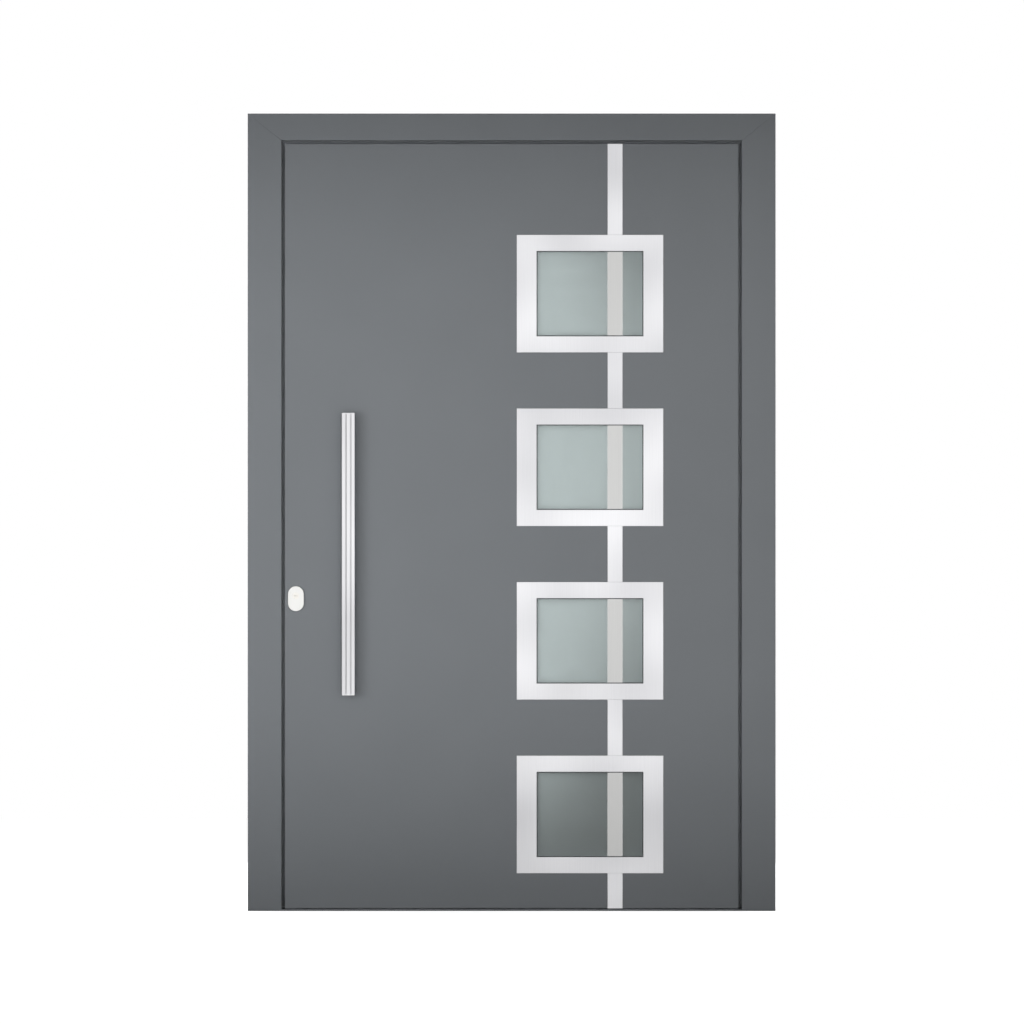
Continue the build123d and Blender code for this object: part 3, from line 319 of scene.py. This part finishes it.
def satin_etched_glass():
    """Acid-etched float glass: greenish, lets light through but blurs every shape, faintly cloudy."""
    material, tree, place = start_material("satin etched glass")
    etch = add_node(tree, "ShaderNodeTexNoise", {
        "Vector": place, "Scale": 1 / patterns().etch_grain, "Detail": 4.0, "Roughness": 0.6})
    tone = add_node(tree, "ShaderNodeMix", {
        FACTOR: etch, COLOUR_A: colours().satin_deep, COLOUR_B: colours().satin}, data_type="RGBA")
    gloss = add_node(tree, "ShaderNodeMapRange", {"Value": etch, "To Min": 0.40, "To Max": 0.52})
    surface = add_node(tree, "ShaderNodeBsdfPrincipled", {
        "Base Color": tone.outputs[MIXED], "Roughness": gloss, "IOR": 1.5, "Transmission Weight": 1.0})
    add_node(tree, "ShaderNodeOutputMaterial", {"Surface": surface})
    return material


def clear_float_glass():
    """Float glass: clear with a green cast, smooth, with the slightest roller wave."""
    material, tree, place = start_material("clear float glass")
    wave = add_node(tree, "ShaderNodeTexNoise", {
        "Vector": place, "Scale": 1 / patterns().roller_wave, "Detail": 0.0})
    bump = add_node(tree, "ShaderNodeBump", {"Height": wave, "Strength": 0.02, "Distance": 0.1 * MM})
    surface = add_node(tree, "ShaderNodeBsdfPrincipled", {
        "Base Color": colours().clear, "Roughness": 0.02, "IOR": 1.52, "Transmission Weight": 1.0,
        "Normal": bump})
    add_node(tree, "ShaderNodeOutputMaterial", {"Surface": surface})
    return material


def bonded_steel_strip():
    """Thin steel strip bonded to the glass: fine upright lines, duller than the trims round it."""
    material, tree, place = start_material("bonded steel strip")
    # Its lines are as fine as the trims', and are drawn as coarse as theirs
    across, along = 1 / patterns().brush_line, 1 / patterns().brush_run
    stretch = add_node(tree, "ShaderNodeMapping", {"Vector": place, "Scale": (across, across, along)})
    lines = add_node(tree, "ShaderNodeTexNoise", {
        "Vector": stretch, "Scale": 1.0, "Detail": 3.0, "Roughness": 0.6})
    tone = add_node(tree, "ShaderNodeMix", {
        FACTOR: lines, COLOUR_A: colours().strip_deep, COLOUR_B: colours().strip}, data_type="RGBA")
    gloss = add_node(tree, "ShaderNodeMapRange", {"Value": lines, "To Min": 0.30, "To Max": 0.48})
    surface = add_node(tree, "ShaderNodeBsdfPrincipled", {
        "Base Color": tone.outputs[MIXED], "Metallic": 1.0, "Roughness": gloss})
    add_node(tree, "ShaderNodeOutputMaterial", {"Surface": surface})
    return material


def extruded_rubber():
    """Extruded rubber seal: black and dull with a dusty bloom."""
    material, tree, place = start_material("extruded rubber seal")
    bloom = add_node(tree, "ShaderNodeTexNoise", {
        "Vector": place, "Scale": 1 / patterns().rubber_bloom, "Detail": 3.0})
    tone = add_node(tree, "ShaderNodeMix", {
        FACTOR: bloom, COLOUR_A: colours().rubber, COLOUR_B: colours().rubber_bloom}, data_type="RGBA")
    gloss = add_node(tree, "ShaderNodeMapRange", {"Value": bloom, "To Min": 0.58, "To Max": 0.80})
    surface = add_node(tree, "ShaderNodeBsdfPrincipled", {
        "Base Color": tone.outputs[MIXED], "Roughness": gloss, "IOR": 1.52})
    add_node(tree, "ShaderNodeOutputMaterial", {"Surface": surface})
    return material


def grey_glazing_tape():
    """Foamed glazing tape: mid grey, soft and dull, so the line round the glass stays faint."""
    material, tree, place = start_material("grey glazing tape")
    # The real cells are about 0.3 mm wide, and are drawn coarser so that they show
    cells = add_node(tree, "ShaderNodeTexNoise", {
        "Vector": place, "Scale": 1 / patterns().tape_cell, "Detail": 2.0})
    tone = add_node(tree, "ShaderNodeMix", {
        FACTOR: cells, COLOUR_A: colours().tape_deep, COLOUR_B: colours().tape}, data_type="RGBA")
    gloss = add_node(tree, "ShaderNodeMapRange", {"Value": cells, "To Min": 0.70, "To Max": 0.90})
    surface = add_node(tree, "ShaderNodeBsdfPrincipled", {
        "Base Color": tone.outputs[MIXED], "Roughness": gloss, "IOR": 1.45})
    add_node(tree, "ShaderNodeOutputMaterial", {"Surface": surface})
    return material


def mill_finish_aluminium():
    """Mill-finish extrusion: pale silver with faint die lines along its length."""
    material, tree, place = start_material("mill finish aluminium")
    # The real lines are about 0.3 mm wide, and are drawn coarser so that they show
    across, along = 1 / patterns().die_line, 1 / patterns().die_run
    stretch = add_node(tree, "ShaderNodeMapping", {"Vector": place, "Scale": (along, across, across)})
    lines = add_node(tree, "ShaderNodeTexNoise", {"Vector": stretch, "Scale": 1.0, "Detail": 2.0})
    tone = add_node(tree, "ShaderNodeMix", {
        FACTOR: lines, COLOUR_A: colours().aluminium_deep, COLOUR_B: colours().aluminium}, data_type="RGBA")
    gloss = add_node(tree, "ShaderNodeMapRange", {"Value": lines, "To Min": 0.32, "To Max": 0.52})
    bump = add_node(tree, "ShaderNodeBump", {"Height": lines, "Strength": 0.06, "Distance": 0.05 * MM})
    surface = add_node(tree, "ShaderNodeBsdfPrincipled", {
        "Base Color": tone.outputs[MIXED], "Metallic": 1.0, "Roughness": gloss, "Normal": bump})
    add_node(tree, "ShaderNodeOutputMaterial", {"Surface": surface})
    return material


def zinc_plated_steel():
    """Passivated zinc on steel: bluish silver with soft blotches."""
    material, tree, place = start_material("zinc plated steel")
    blotch = add_node(tree, "ShaderNodeTexNoise", {
        "Vector": place, "Scale": 1 / patterns().zinc_blotch, "Detail": 3.0})
    tone = add_node(tree, "ShaderNodeMix", {
        FACTOR: blotch, COLOUR_A: colours().zinc_deep, COLOUR_B: colours().zinc}, data_type="RGBA")
    gloss = add_node(tree, "ShaderNodeMapRange", {"Value": blotch, "To Min": 0.26, "To Max": 0.48})
    surface = add_node(tree, "ShaderNodeBsdfPrincipled", {
        "Base Color": tone.outputs[MIXED], "Metallic": 1.0, "Roughness": gloss})
    add_node(tree, "ShaderNodeOutputMaterial", {"Surface": surface})
    return material


def nickel_plated_brass():
    """Satin nickel over turned brass: warm pale silver with fine turning marks."""
    material, tree, place = start_material("satin nickel plated brass")
    # The real marks are about 0.1 mm wide, and are drawn coarser so that they show
    marks = add_node(tree, "ShaderNodeTexNoise", {
        "Vector": place, "Scale": 1 / patterns().turning_mark, "Detail": 1.0})
    tone = add_node(tree, "ShaderNodeMix", {
        FACTOR: marks, COLOUR_A: colours().nickel_deep, COLOUR_B: colours().nickel}, data_type="RGBA")
    gloss = add_node(tree, "ShaderNodeMapRange", {"Value": marks, "To Min": 0.22, "To Max": 0.38})
    surface = add_node(tree, "ShaderNodeBsdfPrincipled", {
        "Base Color": tone.outputs[MIXED], "Metallic": 1.0, "Roughness": gloss})
    add_node(tree, "ShaderNodeOutputMaterial", {"Surface": surface})
    return material


def glass_filled_polyamide():
    """Extruded polyamide with glass fibre: near black, dull, with pale fibre streaks along it."""
    material, tree, place = start_material("glass filled polyamide")
    # The real fibres are about 0.01 mm thick, and are drawn coarser so that they show
    across, along = 1 / patterns().fibre_width, 1 / patterns().fibre_run
    stretch = add_node(tree, "ShaderNodeMapping", {"Vector": place, "Scale": (across, across, along)})
    fibre = add_node(tree, "ShaderNodeTexNoise", {"Vector": stretch, "Scale": 1.0, "Detail": 2.0})
    tone = add_node(tree, "ShaderNodeMix", {
        FACTOR: fibre, COLOUR_A: colours().polyamide, COLOUR_B: colours().fibre}, data_type="RGBA")
    gloss = add_node(tree, "ShaderNodeMapRange", {"Value": fibre, "To Min": 0.46, "To Max": 0.68})
    surface = add_node(tree, "ShaderNodeBsdfPrincipled", {
        "Base Color": tone.outputs[MIXED], "Roughness": gloss, "IOR": 1.53})
    add_node(tree, "ShaderNodeOutputMaterial", {"Surface": surface})
    return material


def rigid_foam():
    """Cut polyurethane foam: pale yellow and chalky, with small open cells."""
    material, tree, place = start_material("rigid polyurethane foam")
    # The real cells are about 0.4 mm wide, and are drawn coarser so that they show
    cells = add_node(tree, "ShaderNodeTexVoronoi", {"Vector": place, "Scale": 1 / patterns().foam_cell})
    tone = add_node(tree, "ShaderNodeMix", {
        FACTOR: cells, COLOUR_A: colours().foam_deep, COLOUR_B: colours().foam}, data_type="RGBA")
    bump = add_node(tree, "ShaderNodeBump", {"Height": cells, "Strength": 0.4, "Distance": 0.5 * MM})
    surface = add_node(tree, "ShaderNodeBsdfPrincipled", {
        "Base Color": tone.outputs[MIXED], "Roughness": 0.9, "IOR": 1.5, "Normal": bump})
    add_node(tree, "ShaderNodeOutputMaterial", {"Surface": surface})
    return material


def pale_studio_paint():
    """Painted studio floor: near white, dull, with the faintest roller texture."""
    material, tree, place = start_material("pale studio paint")
    roller = add_node(tree, "ShaderNodeTexNoise", {
        "Vector": place, "Scale": 1 / patterns().floor_roller, "Detail": 2.0})
    tone = add_node(tree, "ShaderNodeMix", {
        FACTOR: roller, COLOUR_A: colours().floor_deep, COLOUR_B: colours().floor}, data_type="RGBA")
    surface = add_node(tree, "ShaderNodeBsdfPrincipled", {
        "Base Color": tone.outputs[MIXED], "Roughness": 0.85, "IOR": 1.5,
        "Emission Color": colours().white, "Emission Strength": FLOOR_GLOW})
    add_node(tree, "ShaderNodeOutputMaterial", {"Surface": surface})
    return material


def dress(names, material, edge=0.0):
    """Give CAD nodes their finish, and round their sharp edges where an edge radius is given."""
    for name in names:
        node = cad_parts[name]
        node.data.materials.clear()
        node.data.materials.append(material)
        if edge > 0.0:
            weld = node.modifiers.new("joined corners", "WELD")
            weld.merge_threshold = WELD_REACH
            bevel = node.modifiers.new("rounded edges", "BEVEL")
            bevel.width = edge
            bevel.segments = EDGE_SEGMENTS
            bevel.limit_method = "ANGLE"
            bevel.angle_limit = SHARP_ANGLE
            bevel.harden_normals = True


def piece(name, mesh, body, material):
    """New piece from a bmesh, riding on a body and taking a slot's finish."""
    data = bpy.data.meshes.new(name)
    mesh.to_mesh(data)
    mesh.free()
    made = bpy.data.objects.new(name, data)
    bpy.context.scene.collection.objects.link(made)
    made.data.materials.append(material)
    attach(made, body)


def screw_head(mesh, place, outward):
    """Raised countersunk head with a hexagon socket, standing on a plate at a place."""
    s = sizes()
    across = outward.orthogonal().normalized()
    along = outward.cross(across)
    # Each ring: its reach, its height over the plate, and whether it is a hexagon
    rings = [(share * s.screw_radius, rise * s.screw_rise, False) for share, rise in HEAD_SHARES]
    rings += [(share * s.screw_socket, rise * s.screw_rise, True) for share, rise in SOCKET_SHARES]
    loops = []
    for reach, height, hexagonal in rings:
        loop = []
        for i in range(RING_CORNERS):
            angle = math.tau * i / RING_CORNERS
            off_flat = (angle + HEXAGON_STEP / 2) % HEXAGON_STEP - HEXAGON_STEP / 2
            radius = reach / math.cos(off_flat) if hexagonal else reach
            way = across * math.cos(angle) + along * math.sin(angle)
            loop.append(mesh.verts.new(place + outward * height + way * radius))
        loops.append(loop)
    for low, high in zip(loops, loops[1:]):
        for i in range(RING_CORNERS):
            j = (i + 1) % RING_CORNERS
            mesh.faces.new((low[i], low[j], high[j], high[i]))
    mesh.faces.new(loops[-1])


def screw_row(name, places, outward, body, material):
    """One piece with a screw head at each place."""
    mesh = bmesh.new()
    for place in places:
        screw_head(mesh, Vector(place), Vector(outward))
    bmesh.ops.recalc_face_normals(mesh, faces=mesh.faces)
    piece(name, mesh, body, material)


class DOOR_OT_coated_shell(bpy.types.Operator):
    """Powder coat the frame, the leaf and the hinges"""
    bl_idname = "door.coated_shell"
    bl_label = "Coated frame and leaf"

    def execute(self, context):
        dress(COATED_FRAME + COATED_LEAF + COATED_HINGES, powder_coated_aluminium(), sizes().coat_edge)
        return {"FINISHED"}


class DOOR_OT_steel_inlay(bpy.types.Operator):
    """Brush the window trims, the strips, the pull bar and the lock plates"""
    bl_idname = "door.steel_inlay"
    bl_label = "Steel inlay and pull bar"

    def execute(self, context):
        dress(STEEL_INLAY + LOCK_PLATES + PULL_PIECES, brushed_stainless_steel())
        return {"FINISHED"}


class DOOR_OT_glazing(bpy.types.Operator):
    """Glaze the four windows, with the steel strips on the glass"""
    bl_idname = "door.glazing"
    bl_label = "Glazing"

    def execute(self, context):
        dress(OUTER_PANES, satin_etched_glass())
        dress(["inner_panes"], clear_float_glass())
        dress(["pane_strips"], bonded_steel_strip())
        return {"FINISHED"}


class DOOR_OT_lock_and_lever(bpy.types.Operator):
    """Finish the lock, the cylinder, its covers and the lever"""
    bl_idname = "door.lock_and_lever"
    bl_label = "Lock and lever"

    def execute(self, context):
        dress(TURNED_STEEL, satin_polished_steel(), sizes().steel_edge)
        dress(PLATED_STEEL, zinc_plated_steel())
        dress(PLATED_BRASS, nickel_plated_brass())
        return {"FINISHED"}


class DOOR_OT_inner_pieces(bpy.types.Operator):
    """Finish the seals, the thermal bars, the core and the plain aluminium inside"""
    bl_idname = "door.inner_pieces"
    bl_label = "Seals, bars and core"

    def execute(self, context):
        dress(PLAIN_ALUMINIUM, mill_finish_aluminium())
        dress(RUBBER, extruded_rubber())
        dress(["glazing_tapes"], grey_glazing_tape())
        dress(THERMAL_BARS, glass_filled_polyamide())
        dress(["insulating_core"], rigid_foam())
        return {"FINISHED"}


class DOOR_OT_end_pads(bpy.types.Operator):
    """Set the ribbed sealing pads on the ends of the threshold"""
    bl_idname = "door.end_pads"
    bl_label = "Threshold end pads"

    def execute(self, context):
        s = sizes()
        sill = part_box("threshold_plate")[1]
        seal_low, seal_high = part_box("drop_seal_bar")
        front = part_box("frame_stop_gasket")[1].y + s.pad_gap
        pitch = s.pad_depth / PAD_RIBS
        # Ribs run along the threshold: a valley, then a crest, over and over
        ridge = [(front + i * pitch / 2, sill.z + (s.pad_rib if i % 2 else s.pad_base))
                 for i in range(2 * PAD_RIBS + 1)]
        outline = [(front, sill.z)] + ridge + [(front + s.pad_depth, sill.z)]
        mesh = bmesh.new()
        for outer, inner in ((-sill.x + s.pad_gap, seal_low.x - s.pad_gap),
                             (seal_high.x + s.pad_gap, sill.x - s.pad_gap)):
            ends = [[mesh.verts.new((x, y, z)) for y, z in outline] for x in (outer, inner)]
            for end in ends:
                mesh.faces.new(end)
            for i in range(len(outline)):
                j = (i + 1) % len(outline)
                mesh.faces.new((ends[0][i], ends[0][j], ends[1][j], ends[1][i]))
        bmesh.ops.recalc_face_normals(mesh, faces=mesh.faces)
        piece("threshold_end_pads", mesh, "frame", bpy.data.materials["extruded rubber seal"])
        return {"FINISHED"}


class DOOR_OT_screws(bpy.types.Operator):
    """Set the small screws of the hinges, the faceplate and the strike plates"""
    bl_idname = "door.screws"
    bl_label = "Small screws"

    def execute(self, context):
        zinc = bpy.data.materials["zinc plated steel"]
        self.on_hinges(zinc)
        self.on_lock(zinc)
        return {"FINISHED"}

    def on_hinges(self, zinc):
        """Two screws in each flag of the three hinges."""
        s = sizes()
        low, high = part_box("hinge_frame_flags")
        leaf_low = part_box("hinge_leaf_flags")[0]
        half = s.hinge_height / 2
        middles = (low.z + half, (low.z + high.z) / 2, high.z - half)
        heights = [z + way * (half - s.hinge_screw_inset) for z in middles for way in (-1, 1)]
        flag_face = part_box("inner_sheet")[1].y + s.hinge_flag
        screw_row("frame_hinge_screws", [(high.x - s.hinge_screw_edge, flag_face, z) for z in heights],
                  (0, 1, 0), "frame", zinc)
        screw_row("leaf_hinge_screws", [(leaf_low.x + s.hinge_screw_edge, flag_face, z) for z in heights],
                  (0, 1, 0), "leaf", zinc)

    def on_lock(self, zinc):
        """Screws above and below the lock cases, and two in each strike plate, all in one upright line."""
        s = sizes()
        low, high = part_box("lock_faceplate")
        middle = (low.y + high.y) / 2
        main_low, main_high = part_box("lock_case")
        small_low, small_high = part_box("auxiliary_lock_cases")
        heights = [main_low.z - s.case_screw_gap, main_high.z + s.case_screw_gap,
                   small_low.z - s.case_screw_gap, small_high.z + s.case_screw_gap]
        screw_row("faceplate_screws", [(low.x, middle, z) for z in heights],
                  (-1, 0, 0), "leaf", zinc)
        main_low, main_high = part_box("main_strike_plate")
        small_low, small_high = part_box("auxiliary_strike_plates")
        spans = [(main_low.z, main_high.z), (small_low.z, small_low.z + s.strike_height),
                 (small_high.z - s.strike_height, small_high.z)]
        heights = [z for bottom, top in spans for z in (bottom + s.screw_edge, top - s.screw_edge)]
        screw_row("strike_screws", [(main_high.x, middle, z) for z in heights],
                  (1, 0, 0), "frame", zinc)


def area_light(name, place, target, width, height, power, seen_by, spread=180.0, shape="RECTANGLE"):
    """Soft light that the camera doesn't see, in metres, watts and degrees; seen_by names its rays."""
    data = bpy.data.lights.new(name, "AREA")
    data.shape = shape
    data.size = width
    data.size_y = height
    data.energy = power
    data.spread = math.radians(spread)
    light = bpy.data.objects.new(name, data)
    bpy.context.scene.collection.objects.link(light)
    light.location = place
    light.rotation_euler = (Vector(target) - Vector(place)).to_track_quat("-Z", "Y").to_euler()
    light.visible_camera = False
    light.visible_diffuse = "diffuse" in seen_by
    light.visible_glossy = "glossy" in seen_by
    light.visible_transmission = "transmission" in seen_by


class DOOR_OT_stage(bpy.types.Operator):
    """Set the pale floor, the soft lights and the camera of the photograph"""
    bl_idname = "door.stage"
    bl_label = "Stage"

    def execute(self, context):
        scene = context.scene
        scene.view_settings.view_transform = "Standard"
        self.floor(scene)
        self.world(scene)
        self.lights()
        self.camera(scene)
        return {"FINISHED"}

    def floor(self, scene):
        """Wide pale plane just under the threshold."""
        mesh = bmesh.new()
        bmesh.ops.create_grid(mesh, x_segments=FLOOR_CELLS, y_segments=FLOOR_CELLS, size=FLOOR_REACH)
        data = bpy.data.meshes.new("floor")
        mesh.to_mesh(data)
        mesh.free()
        ground = bpy.data.objects.new("floor", data)
        ground.location.z = -FLOOR_DROP
        scene.collection.objects.link(ground)
        ground.data.materials.append(pale_studio_paint())
        ground.visible_diffuse = False
        ground.visible_glossy = False
        ground.visible_transmission = False

    def world(self, scene):
        """White for the eye, and a dimmer even light on the door."""
        world = bpy.data.worlds.new("studio")
        scene.world = world
        world.use_nodes = True
        tree = world.node_tree
        tree.nodes.clear()
        rays = add_node(tree, "ShaderNodeLightPath")
        seen = add_node(tree, "ShaderNodeBackground", {"Color": colours().white, "Strength": WORLD_SEEN})
        even = add_node(tree, "ShaderNodeBackground", {"Color": colours().white, "Strength": WORLD_LIGHT})
        chosen = add_node(tree, "ShaderNodeMixShader", {
            FACTOR: rays.outputs["Is Camera Ray"], SHADER_A: even, SHADER_B: seen})
        add_node(tree, "ShaderNodeOutputWorld", {"Surface": chosen})

    def lights(self):
        """Soft keys on the front, two cards that the steel mirrors, the room behind the glass, and fills."""
        area_light("front key", place=(0.0, -2.5, 1.13), target=(0.0, 0.0, 1.13), width=4.0, height=2.0,
                   power=11.35, seen_by=("diffuse",), spread=34.0)
        # From the left, so that the pull bar's shadow falls to its right
        area_light("left key", place=(-2.98, -2.7, 1.13), target=(-1.94, 0.0, 1.13), width=4.0, height=2.0,
                   power=6.5, seen_by=("diffuse",), spread=33.0)
        # Just over the floor, so that the steel isn't dark in views from above
        area_light("floor card", place=(0.0, 0.0, -CARD_DROP), target=(0.0, 0.0, 1.0), width=8.0, height=8.0,
                   power=52.0, seen_by=("glossy",))
        area_light("steel card", place=(0.0, -3.2, 1.28), target=(0.0, 0.0, 1.28), width=5.2, height=2.6,
                   power=59.0, seen_by=("glossy",))
        # Level with the second window and to its left, so that the panes darken away from there
        area_light("room", place=(-0.29, 1.3, 1.17), target=(-0.29, 0.0, 1.17), width=1.42, height=2.0,
                   power=1.15, seen_by=("diffuse", "transmission"), spread=70.0, shape="ELLIPSE")
        # Seen through the glass from inside
        area_light("daylight", place=(0.0, -2.6, 1.1), target=(0.0, 0.0, 1.1), width=4.0, height=2.4,
                   power=24.0, seen_by=("transmission",))
        area_light("back fill", place=(0.0, 4.0, 1.6), target=(0.0, 0.0, 1.05), width=4.0, height=2.5,
                   power=60.0, seen_by=("diffuse", "glossy"))
        area_light("top fill", place=(0.0, 0.9, 3.8), target=(0.0, 0.2, 2.1), width=3.0, height=0.8,
                   power=30.0, seen_by=("diffuse", "glossy"))
        for side in (-1, 1):
            area_light("side fill", place=(side * 3.2, 1.3, 1.5), target=(side * 0.6, 0.3, 1.05), width=1.2,
                       height=2.4, power=40.0, seen_by=("diffuse", "glossy"))

    def camera(self, scene):
        """Long lens square to the door, as the flat view of the photograph."""
        low, high = CAD_BOX
        data = bpy.data.cameras.new("photo view")
        data.lens = LENS
        data.sensor_width = SENSOR
        data.clip_end = FAR_LIMIT
        view = bpy.data.objects.new("photo view", data)
        scene.collection.objects.link(view)
        pixel = (high.z - low.z) / (FRAME_BOTTOM - FRAME_TOP)
        right = (PHOTO_SIDE - FRAME_LEFT - FRAME_RIGHT) / 2 * pixel
        rise = (FRAME_TOP + FRAME_BOTTOM - PHOTO_SIDE) / 2 * pixel
        distance = PHOTO_SIDE * pixel * LENS / SENSOR
        frame_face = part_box("lock_jamb")[0].y
        view.location = (right, frame_face - distance, (low.z + high.z) / 2 + rise)
        view.rotation_euler = (math.radians(90), 0, 0)
        scene.camera = view


class DOOR_PT_pieces(bpy.types.Panel):
    """Lists the steps of the door's finish"""
    bl_idname = "DOOR_PT_pieces"
    bl_label = "Entrance door"
    bl_space_type = "VIEW_3D"
    bl_region_type = "UI"
    bl_category = "Door"

    def draw(self, context):
        column = self.layout.column()
        for step in STEPS:
            column.operator(step.bl_idname, text=step.bl_label)
        for group in (sizes(), patterns(), colours()):
            box = self.layout.box()
            for name in group.__annotations__:
                box.prop(group, name)


STEPS = (DOOR_OT_coated_shell, DOOR_OT_steel_inlay, DOOR_OT_glazing, DOOR_OT_lock_and_lever,
         DOOR_OT_inner_pieces, DOOR_OT_end_pads, DOOR_OT_screws, DOOR_OT_stage)
CLASSES = (DoorSizes, DoorPatterns, DoorColours) + STEPS + (DOOR_PT_pieces,)


def register():
    """Add the classes and the scene's settings."""
    for item in CLASSES:
        bpy.utils.register_class(item)
    bpy.types.Scene.door_sizes = PointerProperty(type=DoorSizes)
    bpy.types.Scene.door_patterns = PointerProperty(type=DoorPatterns)
    bpy.types.Scene.door_colours = PointerProperty(type=DoorColours)


def unregister():
    """Take them away again."""
    del bpy.types.Scene.door_colours
    del bpy.types.Scene.door_patterns
    del bpy.types.Scene.door_sizes
    for item in reversed(CLASSES):
        bpy.utils.unregister_class(item)


def main():
    """Run every step in order."""
    register()
    for step in STEPS:
        getattr(bpy.ops.door, step.bl_idname.removeprefix("door."))()


if __name__ == "__main__":
    main()
